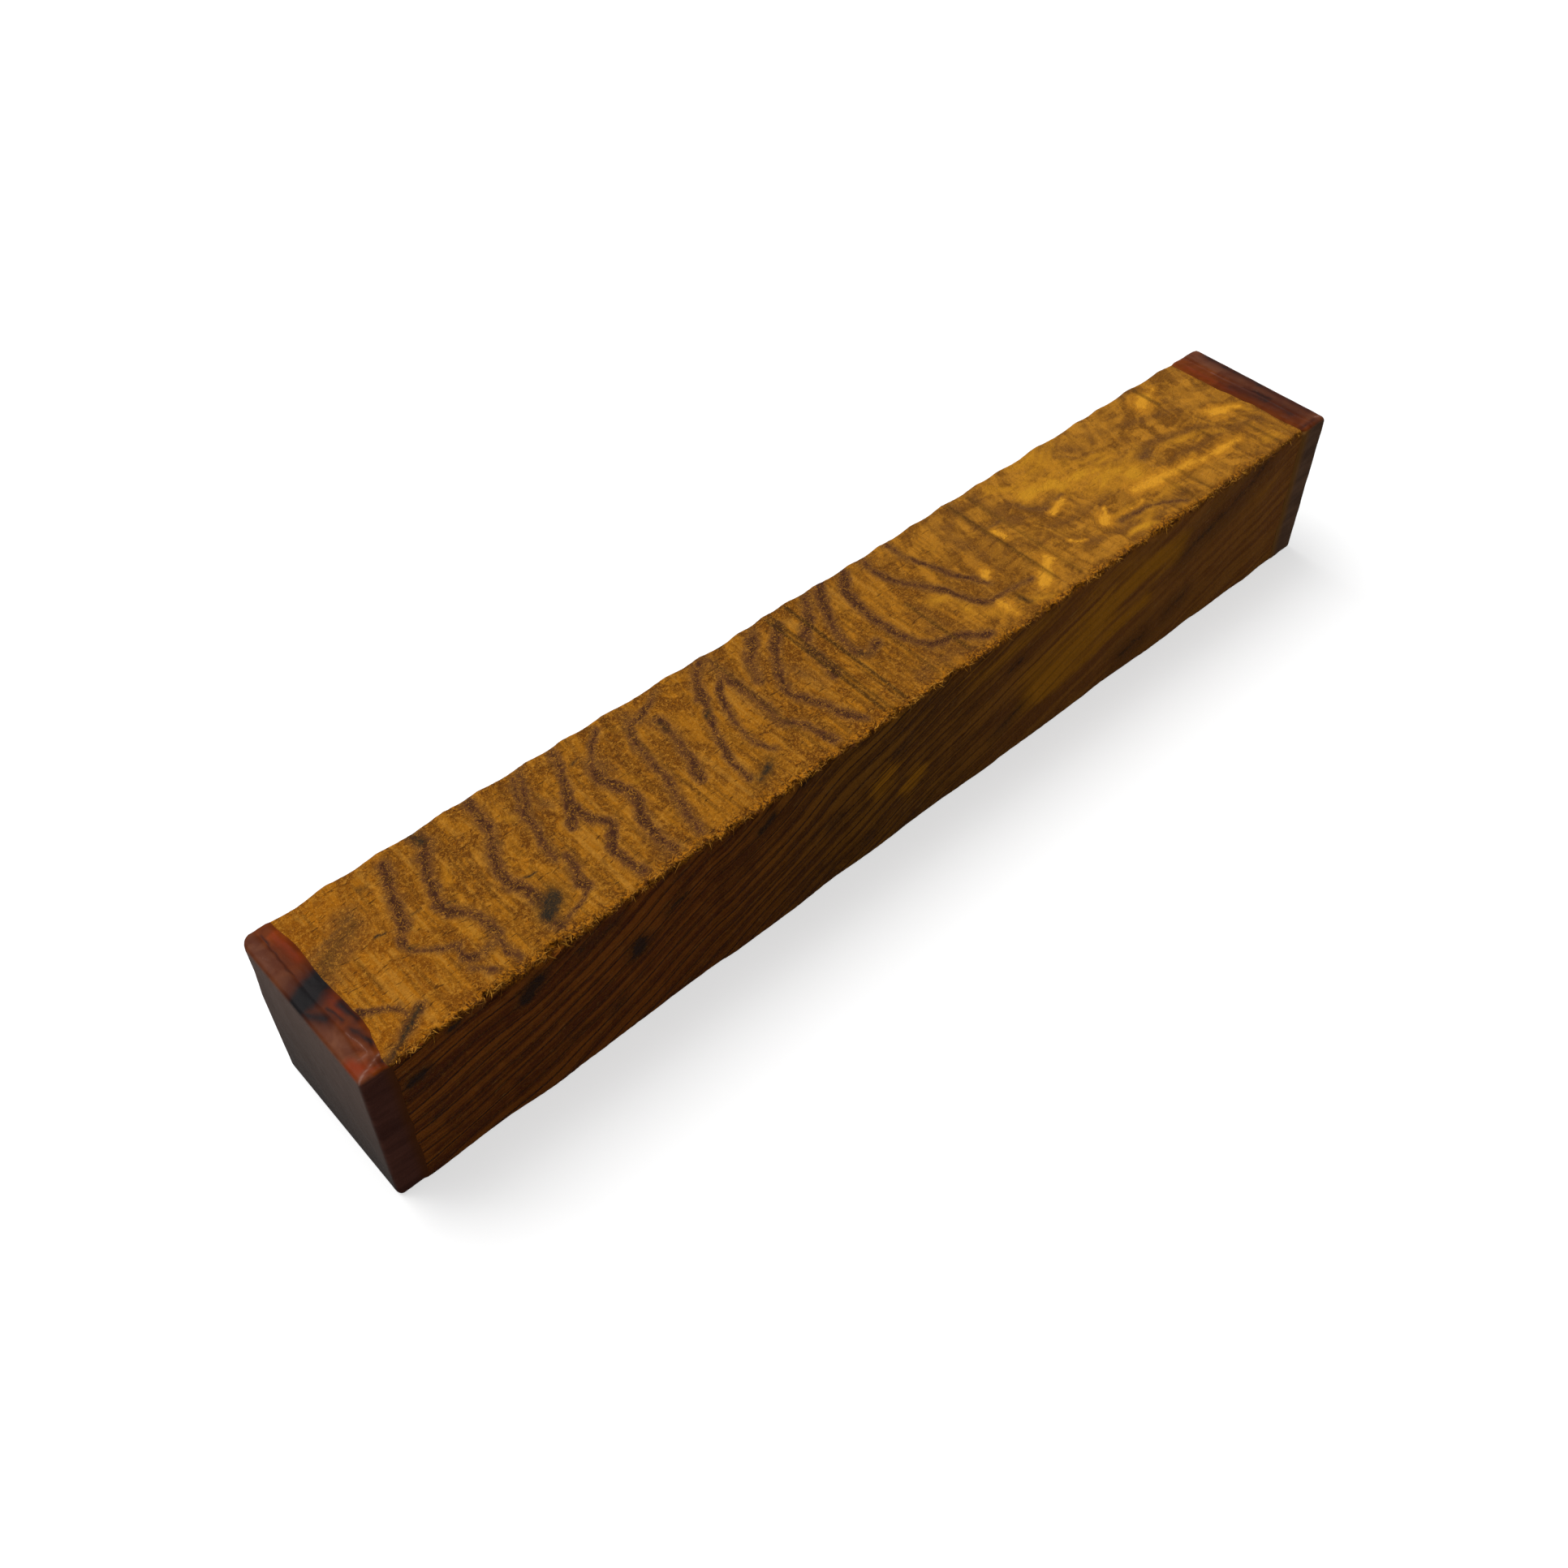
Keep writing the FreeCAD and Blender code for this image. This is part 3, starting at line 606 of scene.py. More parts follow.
# ground colour: brown to gold by broad patches, streaks and curls
tone = add_node(tree, "Math", [curls, 0.2, mottle], operation="MULTIPLY_ADD")
tone = add_node(tree, "Math", [streaks, 0.8, tone], operation="MULTIPLY_ADD")
light_share = add_node(tree, "MapRange", [tone, 0.87, 1.15], interpolation_type="SMOOTHSTEP")
side_tone = add_node(tree, "Math", [mottle, 0.35, streaks], operation="MULTIPLY_ADD")
side_share = add_node(tree, "MapRange", [side_tone, 0.56, 0.79], interpolation_type="SMOOTHSTEP")
# the near and middle sides are painted darker than the top, partly as painted shade
near_wood, far_wood, near_side_with_shade, middle_side_with_shade, far_side = [
    add_node(tree, "Mix", [share, from_hex(dark), from_hex(pale)], data_type="RGBA")
    for share, dark, pale in (
        (light_share, "#683b0c", "#a16512"), (light_share, "#774a15", "#b67922"),
        (side_share, "#57260b", "#96521a"), (side_share, "#56310e", "#905c1c"),
        (side_share, "#834e1f", "#a26728"),
    )
]
warm = add_node(tree, "MapRange", [from_middle, -63, -46, 0.4, 0], interpolation_type="SMOOTHSTEP")
near_wood = add_node(tree, "Mix", [warm, near_wood, from_hex("#a65f06")], data_type="RGBA")
top_wood = add_node(tree, "Mix", [far, near_wood, far_wood], data_type="RGBA")
clean = add_node(tree, "MapRange", [far, 0, 1, 1, 0.45])
# fuzz and curls of the ground, and its marbling where it is clean
for grain, low, high, strength, colour in (
    (fuzz, 0.5, 0.66, 0.5, "#b97d24"), (curls, 0.53, 0.7, 0.55, "#b9700f"),
    (curls, 0.46, 0.3, 0.3, "#55300b"), (fuzz, 0.46, 0.3, 0.12, "#4a2b0a"),
):
    top_wood = lay_over(tree, top_wood, grain, low, high, strength, colour, clean)
for grain, low, high, strength, colour in (
    (marble, 0.5, 0.62, 0.45, "#7d4e1b"), (marble, 0.47, 0.36, 0.45, "#c08226"),
    (from_marble, 0.02, 0.0, 0.28, "#5f3b17"),
):
    top_wood = lay_over(tree, top_wood, grain, low, high, strength, colour, far)
# here and there the saw's teeth left fine lines across
toothed = add_node(tree, "MapRange", [mottle, 0.4, 0.56])
for low, high, strength, colour in ((0.49, 0.36, 0.5, "#553410"), (0.53, 0.68, 0.4, "#b98231")):
    top_wood = lay_over(tree, top_wood, teeth, low, high, strength, colour, toothed, clean)
# uneven edges for the drawn strokes: ragged, and frayed into fibres
ragged = add_node(tree, "Math", [curls, 1.1, -1.35], operation="MULTIPLY_ADD")
ragged = add_node(tree, "Math", [mottle, 1.6, ragged], operation="MULTIPLY_ADD")
frayed = add_node(tree, "Math", [fuzz, 1.6, -0.8], operation="MULTIPLY_ADD")
frayed = add_node(tree, "Math", [ragged, frayed], operation="ADD")
# veins come and go along their length
coming_going = add_node(tree, "Math", [mottle, 2.0, -0.95], operation="MULTIPLY_ADD")
coming_going = add_node(tree, "Math", [coming_going, frayed], operation="ADD")
# shades flow with the marbling, and the gold swirls with it
flowing = add_node(tree, "Math", [marble, 3, -1.5], operation="MULTIPLY_ADD")
swirling = add_node(tree, "Math", [marble, 7, -3.6], operation="MULTIPLY_ADD")
swirling = add_node(tree, "Math", [ragged, 0.8, swirling], operation="MULTIPLY_ADD")
# the gold is weaker where the face is fuzzy
golden = add_node(tree, "MapRange", [far, 0, 1, 0.4, 1])
# each drawn thing: how far out its soft halo and its core reach, how strong they are, and colour
# the gold and the flecks are partly painted sheen
for drawn, broken, low, high, strength, colour in (
    (shade, flowing, -0.9, 0.9, 0.75, "#69421d"), (gold_and_sheen, swirling, -0.7, 1.0, 0.75, "#c4851f"),
    (gold_and_sheen, swirling, 0.6, 1.6, 0.5, "#d89a24"),
    (sheen_fleck, ragged, -0.9, 0.1, 0.55, "#be7c1e"), (sheen_fleck, ragged, -0.05, 0.7, 0.85, "#e59f2a"),
    (vein, ragged, -1.8, 0.2, 0.55, "#6e4b26"), (vein, coming_going, -0.65, 0.4, 0.87, "#59341d"),
    (vein, coming_going, 0.15, 0.8, 0.8, "#3a1f15"),
    (stain, ragged, -1.0, 0.4, 0.6, "#4d3316"), (stain, ragged, 0.05, 0.75, 0.92, "#27231c"),
):
    edge = add_node(tree, "Math", [drawn, broken], operation="ADD")
    masks = [golden] if drawn == gold_and_sheen else []
    top_wood = lay_over(tree, top_wood, edge, low, high, strength, colour, *masks)
mark_share = add_node(tree, "Math", [saw_mark, 0.85], operation="MULTIPLY")
top_wood = add_node(tree, "Mix", [mark_share, top_wood, from_hex("#3c260d")], data_type="RGBA")
# off the top face the growth layers show as thin dark lines
past_third = add_node(tree, "MapRange", [from_middle, -36, -6], interpolation_type="SMOOTHSTEP")
side_wood_with_shade = add_node(tree, "Mix", [past_third, near_side_with_shade, middle_side_with_shade], data_type="RGBA")
side_wood_with_shade = add_node(tree, "Mix", [far, side_wood_with_shade, far_side], data_type="RGBA")
streaky = add_node(tree, "Math", [streaks, 3, -1.5], operation="MULTIPLY_ADD")
for drawn, low, high, strength, colour in (
    (gold_and_sheen, -1.0, 0.6, 0.85, "#ca841c"), (stain, -1.6, 0.5, 0.7, "#3f2412"),
):
    edge = add_node(tree, "Math", [drawn, streaky], operation="ADD")
    side_wood_with_shade = lay_over(tree, side_wood_with_shade, edge, low, high, strength, colour)
ring_width = add_node(tree, "MapRange", [far, 0, 1, 0.11, 0.2])
ring_line = add_node(tree, "MapRange", [rings, 0.0, ring_width, 1, 0], interpolation_type="SMOOTHSTEP")
ring_fade = add_node(tree, "MapRange", [streaks, 0.35, 0.55, 0.55, 1])
ring_line = add_node(tree, "Math", [ring_line, ring_fade], operation="MULTIPLY")
layer_line = add_node(tree, "MapRange", [from_layer, 0.006, 0.035, 0.6, 0], interpolation_type="SMOOTHSTEP")
layer_line = add_node(tree, "Math", [layer_line, ring_line], operation="MAXIMUM")
faded = add_node(tree, "MapRange", [far, 0, 1, 1, 0.16])
layer_line = add_node(tree, "Math", [layer_line, faded], operation="MULTIPLY")
side_wood_with_shade = add_node(tree, "Mix", [layer_line, side_wood_with_shade, from_hex("#280b03")], data_type="RGBA")
# painted glints of single fibres, and the cores of the knots
side_wood_with_shade = lay_over(tree, side_wood_with_shade, fibres, 0.64, 0.72, 0.6, "#a87c42")
knot = add_node(tree, "Math", [stain, ragged], operation="ADD")
side_wood_with_shade = lay_over(tree, side_wood_with_shade, knot, -0.3, 0.3, 0.9, "#160804")
wood = add_node(tree, "Mix", [side, top_wood, side_wood_with_shade], data_type="RGBA")
# the torn arris shows bright broken ends, and its pits are painted dark as the shade in them
torn_share = add_node(tree, "MapRange", [curls, 0.44, 0.6], interpolation_type="SMOOTHSTEP")
torn_ends_and_pit_shade = add_node(tree, "Mix", [torn_share, from_hex("#401c04"), from_hex("#b87213")], data_type="RGBA")
torn_part = add_node(tree, "Math", [torn, 0.85], operation="MULTIPLY")
wood = add_node(tree, "Mix", [torn_part, wood, torn_ends_and_pit_shade], data_type="RGBA")
# painted highlights on lifted fibre tips, and torn pits painted dark as shade in them, less where the face
# is clean
on_side = add_node(tree, "MapRange", [side, 0, 1, 1, 0.35])
off_knots = add_node(tree, "MapRange", [stain, -0.2, 0.4, 1, 0.25])
for grain, low, high, strength, colour in (
    (fuzz, 0.53, 0.7, 0.35, "#c98a30"), (fibres, 0.44, 0.3, 0.2, "#51300c"),
    (from_hair, 0.035, 0.0, 0.5, "#cb8a2e"), (pores, 0.66, 0.72, 0.7, "#3a200a"),
):
    wood = lay_over(tree, wood, grain, low, high, strength, colour, clean, on_side, off_knots)
relief = add_node(tree, "Math", [teeth, 0.4, fuzz], operation="MULTIPLY_ADD")
relief = add_node(tree, "Math", [fibres, 0.6, relief], operation="MULTIPLY_ADD")
relief = add_node(tree, "Math", [curls, 1.2, relief], operation="MULTIPLY_ADD")
bump = add_node(tree, "Bump", {"Height": relief, "Strength": 0.8, "Distance": 0.2 * MM})
skin = add_node(tree, "BsdfPrincipled", {
    "Base Color": wood, "Roughness": 0.8, "Specular IOR Level": 0.05, "Normal": bump})
add_node(tree, "OutputMaterial", {"Surface": skin})
stick.data.materials.append(burl)

# Torn fibres
# Where the blade broke out along the front top arris it left whiskers of wood standing,
# thickest where the grain runs out of the face. They are part of the stick.
WHISKERS = 800
WHISKER_STEPS = 5
WHISKER_LENGTH, WHISKER_THICKNESS = (0.25, 0.9), (0.035, 0.075)
TORN_STRETCH = (3.2, 127.5)
# a whisker's light patches are this long
PATCH_MM = 0.4545
chance = np.random.default_rng(71)
points, faces = [], []
# the outline's row in the middle of the front top arris
arris_row = rows - 5


def add_whisker(root, lean, length, thickness):
    # A curved taper of three sides from its root to its tip.
    side_a = np.cross(lean, (0, 0, 1.0))
    side_a /= np.linalg.norm(side_a) + 1e-9
    side_b = np.cross(lean, side_a)
    curl = chance.normal(size=3) * 0.35 * length
    start = len(points)
    for step in range(WHISKER_STEPS):
        share = step / (WHISKER_STEPS - 1)
        middle = root + lean * length * share + curl * share**2
        width = thickness * (1 - 0.85 * share)
        for turn in (0, 2.1, 4.2):
            points.append(middle + width * (np.cos(turn) * side_a + np.sin(turn) * side_b))
    for step in range(WHISKER_STEPS - 1):
        for corner in range(3):
            here, beside = start + 3 * step + corner, start + 3 * step + (corner + 1) % 3
            faces.append([here, beside, beside + 3, here + 3])
    tip = start + 3 * WHISKER_STEPS
    faces.append([tip - 3, tip - 2, tip - 1])


while len(points) < WHISKERS * WHISKER_STEPS * 3:
    place = chance.uniform(*TORN_STRETCH)
    tuft = 0.5 + 0.5 * lumps(np.array([place * 0.8]), np.array([0.0]), 72)[0]
    if chance.uniform() > through(TEAR, np.array(place)) * tuft:
        continue
    surface = sawn_surface(np.array([place]))
    root = surface[arris_row + chance.integers(-3, 4)]
    lean = np.array([chance.normal() * 0.9, -abs(chance.normal()) * 0.5, chance.normal() * 0.5 - 0.15])
    lean /= np.linalg.norm(lean)
    length, thickness = chance.uniform(*WHISKER_LENGTH), chance.uniform(*WHISKER_THICKNESS)
    add_whisker(root - 0.04 * lean, lean, length, thickness)
# one long splinter hangs down the front
add_whisker(np.array([18.7, -0.14, 19.2]), np.array([0.5, -0.08, -0.86]), length=2.0, thickness=0.11)
# no whisker stands further out than this
reach = np.array([0, 0.45, 0.4])
points = np.clip(np.array(points), -reach, np.array([LENGTH, WIDTH, HEIGHT]) + reach)
whiskers = new_piece("torn_fibres", points, faces)
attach(whiskers, "root")
fibre_look, tree = new_material("torn_burl_fibre")
place = add_node(tree, "TexCoord", {}, output="Object")
patchy = add_node(tree, "TexNoise", {"Vector": place, "Scale": 0.5 / (PATCH_MM * MM), "Detail": 2})
share = add_node(tree, "MapRange", [patchy, 0.35, 0.65])
colour = add_node(tree, "Mix", [share, from_hex("#5e3208"), from_hex("#d0902e")], data_type="RGBA")
skin = add_node(tree, "BsdfPrincipled", {
    "Base Color": colour, "Roughness": 0.7, "Specular IOR Level": 0.15})
add_node(tree, "OutputMaterial", {"Surface": skin})
whiskers.data.materials.append(fibre_look)

# Wax seals
# Both ends are dipped in clear wax, so that the burl doesn't dry and crack from the end grain.
# The film sets satin and a little milky, wets the wood beneath to a dark red, and rounds every
# corner. Its upper edge is the wavy line to which the end went under.
SIDE_RINGS, ROUND_RINGS, FACE_RINGS = 36, 8, 26
FILM = 0.16
# sizes of the wood grain seen through the film, of its milky clouds and of its ripples
SEEN_GRAIN_MM, CLOUD_MM, RIPPLE_MM = 0.625, 1.111, 0.625
# how far the film stands proud, and a crease along the top where it sagged as it set
FILM_PROUD = {"left": 0.06, "right": 0.16}
SAG = {"left": 0.03, "right": 0}
CREASE_PLACE, CREASE_DEPTH, CREASE_WIDTH = 0.52, 0.06, 0.22
# what shows through the film on top: the dark of a knot and painted crease shade, reddest wood,
# and milky wax with painted highlights
WAX_DARK = (
    (1.7, 1, (0, 9.8), (1.3, 10), (2.4, 10.5), (3.6, 10.9)), (0.4, 0.6, (1.9, 7.8), (2.3, 6)),
    (1, 0.7, (0.3, 8.8), (1.3, 7)), (0.8, 0.65, (3, 7.6), (3.4, 5.4)), (0.6, 0.6, (2.4, 4.8), (2.9, 2.6)),
    # the first stroke on this line is painted shade along the crease
    (0.2, 0.5, (1.8, 18.2), (1.6, 15), (1.8, 12.4)), (0.4, 0.3, (3.3, 8), (3.4, 6.4)),
    (0.5, 0.8, (2.8, 0.6), (3.4, 0.2)),
    (2.2, 0.45, (128.6, 11), (129.4, 7), (129.6, 3)), (0.6, 0.4, (128, 0.7), (130.4, 0.6)),
    (1, 0.5, (131.4, 17), (131.4, 2)), (1, 0.5, (129.6, 10), (130, 6.4)),
)
WAX_RED = (
    (0.7, 0.6, (2.6, 17.4), (2.8, 13.8)), (0.6, 0.8, (2.8, 8.8), (2.7, 7)), (0.7, 1, (0.5, 1.6), (0.9, 1)),
    (0.3, 0.4, (1.4, 0.3), (2.4, 0.5)), (0.9, 0.3, (127.8, 17), (128, 10)),
)
WAX_MILK_AND_HIGHLIGHTS = (
    (0.6, 0.5, (0.7, 17.6), (0.6, 14.5)), (0.6, 0.4, (0.8, 6.6), (0.9, 4.4), (1.2, 2.8)),
    (0.14, 0.9, (0.45, 16.4), (0.75, 16), (0.9, 15.6)), (0.14, 0.7, (0.9, 6.8), (1.1, 6.4)),
    (0.15, 0.9, (1.9, 4.8), (2.1, 3.4), (2.2, 2.1)), (0.35, 0.8, (1.3, 1.9), (2.3, 1.8)),
    (0.2, 1, (0.1, 0.1), (1.4, 0.7), (2.8, 1.3)),
    (1.2, 0.5, (130.7, 18), (130.7, 14)), (0.16, 0.8, (129.2, 14.6), (129.5, 11.4), (130.1, 8.4)),
    (0.25, 1, (131, 0.8), (131.3, 0.6)), (0.7, 0.5, (128.6, 0.9), (129.8, 0.8)),
)


outward = np.stack([0 * out_y, out_y, out_z], axis=-1)


def wax_sheet(end):
    # The film's outer sheet, ring after ring, from its edge over the corner to mid end.
    reach = wax_edge(end)
    corner = END_ROUND[end]
    stages = [reach + (corner - reach) * share for share in np.linspace(0, 1, SIDE_RINGS + 1) ** 1.2]
    turns = np.linspace(0, np.pi / 2, ROUND_RINGS + 1)[1:]
    stages += [corner * (1 - np.sin(turn)) + 0 * reach for turn in turns]
    rings = []
    for from_end in stages:
        x = from_end if end == "left" else LENGTH - from_end
        lean = LEFT_LEAN * (2 * row_z / HEIGHT - 1) * (1 - x / LENGTH)
        level = np.stack([x, WIDTH / 2 + (row_y - WIDTH / 2) * (1 + lean), row_z], axis=-1)
        past_edge = ease(np.clip((reach - from_end) / WAX_THINS_OVER, 0, 1))
        crease = np.clip(out_z, 0, 1) * np.exp(-(((from_end - CREASE_PLACE * reach) / CREASE_WIDTH) ** 2))
        ripple = 0.03 * lumps(x * 0.9, (row_y + row_z) * 0.8, 51)
        ripple += 0.012 * lumps(x * 3, (row_y + row_z) * 1.6, 52)
        sag = SAG[end] * np.clip(1 - from_end / (0.6 * reach), 0, 1) * (1 - out_y)
        swell = past_edge * (ripple - CREASE_DEPTH * crease - sag) + (1 - past_edge) * 0.01
        swell += FILM_PROUD[end] * past_edge
        ring = sawn_surface(x)
        ring = ring + (level - ring) * past_edge[:, None]
        ring = ring + swell[:, None] * outward
        rings.append(draw_in(ring, round_in(end, from_end)))
    rim, middle = rings[-1], np.array([0 if end == "left" else LENGTH, WIDTH / 2, HEIGHT / 2])
    for share in np.linspace(1, 0, FACE_RINGS + 1)[1:-1]:
        ring = middle + (rim - middle) * share
        dent = 0.05 * lumps(ring[:, 1] * 0.3, ring[:, 2] * 0.3, 53)
        dent += 0.015 * lumps(ring[:, 1], ring[:, 2], 54)
        ring[:, 0] += (0.05 + dent) * (1 - share**3) * (1 if end == "left" else -1)
        rings.append(ring)
    return round_far_corner(np.array(rings), end, 0), middle


def wax_seal(name, end):
    # The sheet, a second one a film's thickness inside it, and a lip that joins them.
    sheet, middle = wax_sheet(end)
    rings = len(sheet)
    into_wood = np.array([FILM if end == "left" else -FILM, 0, 0])
    on_side = np.clip(1 - (np.arange(rings) - SIDE_RINGS) / ROUND_RINGS, 0, 1)[:, None, None]
    inner = sheet - FILM * on_side * outward + (1 - on_side) * into_wood
    count = rings * rows
    points = np.concatenate([sheet.reshape(-1, 3), inner.reshape(-1, 3), [middle, middle + into_wood]])
    outer = ring_faces(rings, rows)
    faces = outer + [[corner + count for corner in reversed(face)] for face in outer]
    faces += [[row, (row + 1) % rows, count + (row + 1) % rows, count + row] for row in range(rows)]
    last = (rings - 1) * rows
    faces += [[last + row, 2 * count, last + (row + 1) % rows] for row in range(rows)]
    faces += [[count + last + (row + 1) % rows, 2 * count + 1, count + last + row] for row in range(rows)]
    if end == "left":
        faces = [face[::-1] for face in faces]
    seal = new_piece(name, points, faces)
    from_end = sheet[..., 0] if end == "left" else LENGTH - sheet[..., 0]
    x, y = sheet[..., 0], sheet[..., 1]
    over_top = np.clip(out_z * 3 - 1.2, 0, 1) + 0 * x
    end_grain = np.clip((np.arange(rings) - SIDE_RINGS - 4) / 4, 0, 1)[:, None] + 0 * x
    wobble = 0.15 * lumps(x * 1.4, y * 1.4, 55)
    for layer, values in (
        ("dip", np.clip((wax_edge(end) - from_end) / wax_edge(end), 0, 1)), ("end_grain", end_grain),
        ("wax_dark", np.where(over_top > 0, draw(WAX_DARK, x + wobble, y + wobble), FAINTEST)),
        ("wax_red", np.where(over_top > 0, draw(WAX_RED, x + wobble, y + wobble), FAINTEST)),
        ("wax_milk_and_highlights", np.where(over_top > 0, draw(WAX_MILK_AND_HIGHLIGHTS, x + 0.4 * wobble, y + 0.4 * wobble), FAINTEST)),
        ("over_top", over_top),
    ):
        paint(seal, layer, np.concatenate([values, values]))
    return seal


left_seal = wax_seal("left_dip", "left")
right_seal = wax_seal("right_dip", "right")
for seal, node in ((left_seal, "left_wax_seal"), (right_seal, "right_wax_seal")):
    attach(seal, "root")
    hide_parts(node)
wax, tree = new_material("clear_end_wax")
place = add_node(tree, "TexCoord", {}, output="Object")
mm = add_node(tree, "VectorMath", {"Vector": place, "Scale": 1 / MM}, operation="SCALE")
dip, end_grain, dark, red, milk_and_highlights, over_top = [
    add_node(tree, "Attribute", {}, output="Fac", attribute_name=name)
    for name in ("dip", "end_grain", "wax_dark", "wax_red", "wax_milk_and_highlights", "over_top")
]
# wood grain seen through the film, running along the stick
grain_place = add_node(tree, "VectorMath", [mm, (0.12, 0.8, 0.8)], operation="MULTIPLY")
seen_grain = add_node(tree, "TexNoise", {
    "Vector": grain_place, "Scale": 0.5 / SEEN_GRAIN_MM, "Detail": 4, "Distortion": 0.5})
cloud = add_node(tree, "TexNoise", {"Vector": mm, "Scale": 0.5 / CLOUD_MM, "Detail": 3, "Distortion": 0.8})
top_share = add_node(tree, "MapRange", [cloud, 0.35, 0.68])
side_share = add_node(tree, "MapRange", [seen_grain, 0.3, 0.72], interpolation_type="SMOOTHSTEP")
from_middle = add_node(tree, "SeparateXYZ", [mm], output="X")
right_half = add_node(tree, "Math", [from_middle, 0], operation="GREATER_THAN")
# on the end face the film is painted lighter towards the top, as painted light
height = add_node(tree, "SeparateXYZ", [mm], output="Z")
height = add_node(tree, "Math", [cloud, 6, height], operation="MULTIPLY_ADD")
end_painted_light_share = add_node(tree, "MapRange", [height, 3, 21])
top_inner, top_outer, left_film, right_film, dipped_wood, end_painted_reflection = [
    add_node(tree, "Mix", [share, from_hex(dark_one), from_hex(pale_one)], data_type="RGBA")
    for share, dark_one, pale_one in (
        (top_share, "#582408", "#783810"), (top_share, "#562a18", "#6e3f27"),
        (side_share, "#45261f", "#6c4236"), (side_share, "#5c4333", "#7e5f49"),
        (right_half, "#5c3113", "#96662c"), (end_painted_light_share, "#36302d", "#6a5850"),
    )
]
band = add_node(tree, "MapRange", [dip, 0.45, 0.58], interpolation_type="SMOOTHSTEP")
top_film = add_node(tree, "Mix", [band, top_inner, top_outer], data_type="RGBA")
wispy = add_node(tree, "Math", [cloud, 1.2, -0.6], operation="MULTIPLY_ADD")
# the milk's paler cores are painted highlights
for drawn, low, high, strength, colour in (
    (red, -1.0, 1.0, 0.75, "#842c0a"), (milk_and_highlights, -1.0, 1.0, 0.4, "#714838"), (dark, -1.2, 0.6, 0.8, "#2e1411"),
    (dark, -0.1, 0.7, 0.92, "#15181a"), (milk_and_highlights, 0.3, 1.0, 0.45, "#987568"),
):
    edge = add_node(tree, "Math", [drawn, wispy], operation="ADD")
    top_film = lay_over(tree, top_film, edge, low, high, strength, colour)
side_film = add_node(tree, "Mix", [right_half, left_film, right_film], data_type="RGBA")
# the film thins out to the wood's own colour at its edge
thin_edge = add_node(tree, "MapRange", [dip, 0, 0.4, 0.85, 0], interpolation_type="SMOOTHSTEP")
side_film = add_node(tree, "Mix", [thin_edge, side_film, dipped_wood], data_type="RGBA")
film_colour = add_node(tree, "Mix", [over_top, side_film, top_film], data_type="RGBA")
# the end face's grey brown is painted reflection of the satin film, lighter towards the top
film_colour = add_node(tree, "Mix", [end_grain, film_colour, end_painted_reflection], data_type="RGBA")
# satin on the top face and duller elsewhere
duller = add_node(tree, "Math", [1, over_top], operation="SUBTRACT")
duller = add_node(tree, "Math", [duller, end_grain], operation="MAXIMUM")
gloss = add_node(tree, "MapRange", [duller, 0, 1, 0.34, 0.75])
ripples = add_node(tree, "TexNoise", {"Vector": mm, "Scale": 0.5 / RIPPLE_MM, "Detail": 3})
bump = add_node(tree, "Bump", {"Height": ripples, "Strength": 0.4, "Distance": 0.15 * MM})
skin = add_node(tree, "BsdfPrincipled", {
    "Base Color": film_colour, "Roughness": gloss, "IOR": 1.44, "Specular IOR Level": 0.03, "Normal": bump})
add_node(tree, "OutputMaterial", {"Surface": skin})
for seal in (left_seal, right_seal):
    seal.data.materials.append(wax)

# Studio
# A plain pale paper floor under one large soft lamp, high and behind the stick, which leaves its
# front in shade, and a plain pale room around.


def seen_as_background(tree):
    # 1 where it is seen, straight or in a surface, and 0 where it only gives light.
    ray = tree.nodes.new("ShaderNodeLightPath").outputs
    seen = add_node(tree, "Math", [ray["Is Camera Ray"], ray["Is Glossy Ray"]], operation="MAXIMUM")
    return add_node(tree, "Math", [seen, ray["Is Transmission Ray"]], operation="MAXIMUM")


floor_mesh = bpy.data.meshes.new("floor")
floor_mesh.from_pydata([(-3, -3, 0), (3, -3, 0), (3, 3, 0), (-3, 3, 0)], [], [(0, 1, 2, 3)])
floor = bpy.data.objects.new("floor", floor_mesh)
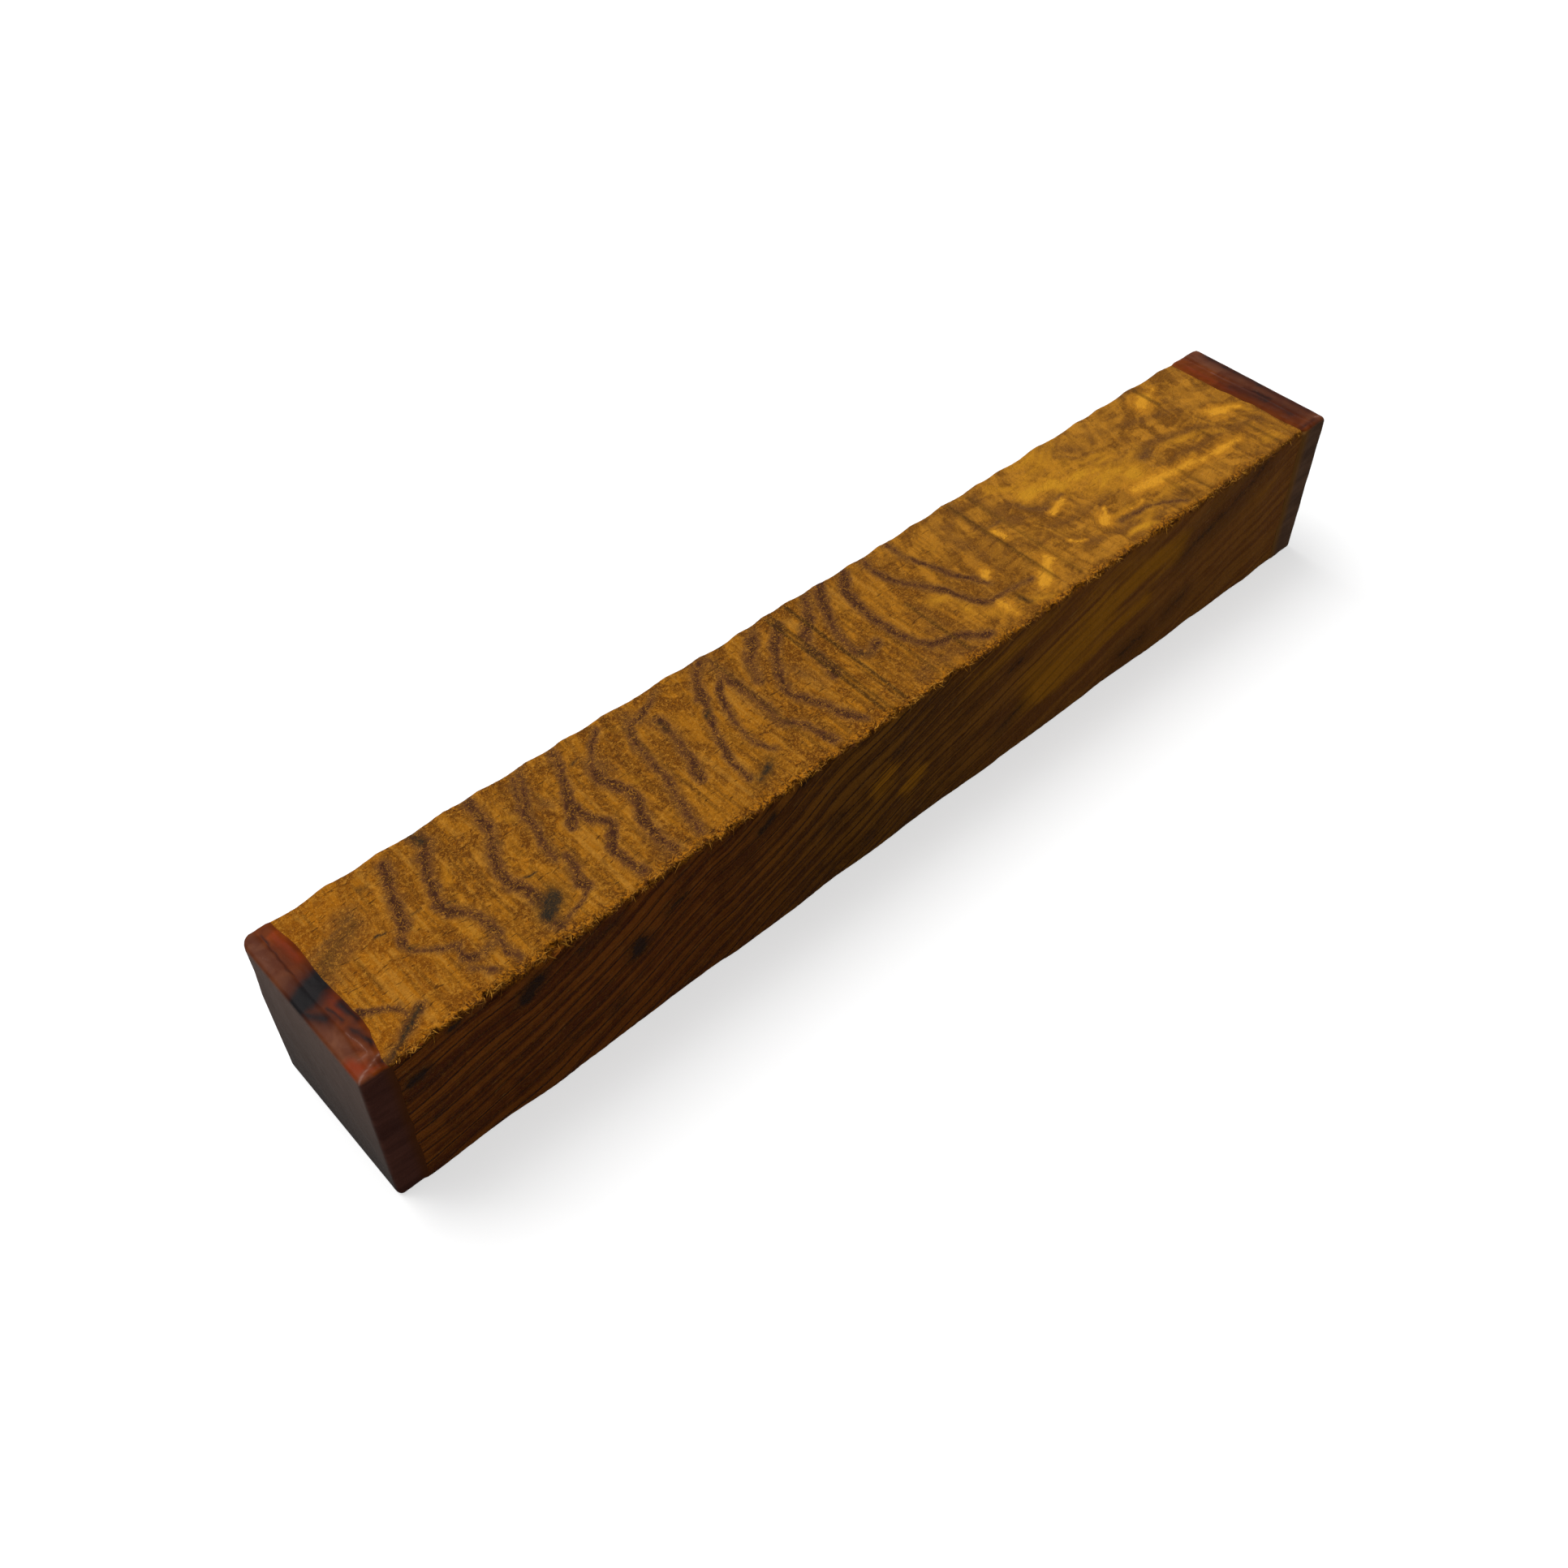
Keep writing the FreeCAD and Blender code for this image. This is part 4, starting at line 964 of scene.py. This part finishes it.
# just under the stick's underside, so that the two don't share a plane
floor.location.z = -0.0002
bpy.context.collection.objects.link(floor)
paper, tree = new_material("white_paper_floor")
seen = seen_as_background(tree)
lit = add_node(tree, "BsdfDiffuse", {"Color": from_hex("#c4c4c4")})
# away from the stick the paper fades to plain white
place = add_node(tree, "TexCoord", {}, output="Object")
from_stick = add_node(tree, "VectorMath", [place], output="Value", operation="LENGTH")
brightness = add_node(tree, "MapRange", [from_stick, 0.15, 0.6, 0.62, 1])
glow = add_node(tree, "Emission", {"Strength": brightness})
white = add_node(tree, "AddShader", [lit, glow])
dull = add_node(tree, "BsdfDiffuse", {"Color": from_hex("#6c6a68")})
surface = add_node(tree, "MixShader", [seen, dull, white])
add_node(tree, "OutputMaterial", {"Surface": surface})
floor.data.materials.append(paper)

lamp_data = bpy.data.lights.new("soft_lamp", "AREA")
lamp_data.shape = "SQUARE"
lamp_data.size = 0.7
lamp_data.energy = 8.5
lamp = bpy.data.objects.new("soft_lamp", lamp_data)
lamp.location = (-0.15, 0.4, 0.8)
lamp.rotation_euler = (-lamp.location).to_track_quat("-Z", "Y").to_euler()
bpy.context.collection.objects.link(lamp)

world = bpy.data.worlds.new("plain_studio")
bpy.context.scene.world = world
world.use_nodes = True
tree = world.node_tree
tree.nodes.clear()
seen = seen_as_background(tree)
strength = add_node(tree, "MapRange", [seen, 0, 1, 0.22, 1])
sky = add_node(tree, "Background", {"Color": (1, 1, 1, 1), "Strength": strength})
add_node(tree, "OutputWorld", {"Surface": sky})

# Camera
# The photograph's viewing place, solved from the stick's corners: its lens, its shift and where
# it stood, in metres and degrees.
camera_data = bpy.data.cameras.new("camera")
camera_data.lens = 37.13
camera_data.shift_x = -0.0071
camera_data.shift_y = -0.0194
camera_data.clip_start = 0.01
camera = bpy.data.objects.new("camera", camera_data)
camera.location = (-0.08602, -0.08304, 0.13282)
camera.rotation_euler = np.radians((90 - 47.609, 0, -42.558))
bpy.context.collection.objects.link(camera)
bpy.context.scene.camera = camera
bpy.context.scene.view_settings.view_transform = "Standard"

bpy.context.view_layer.update()
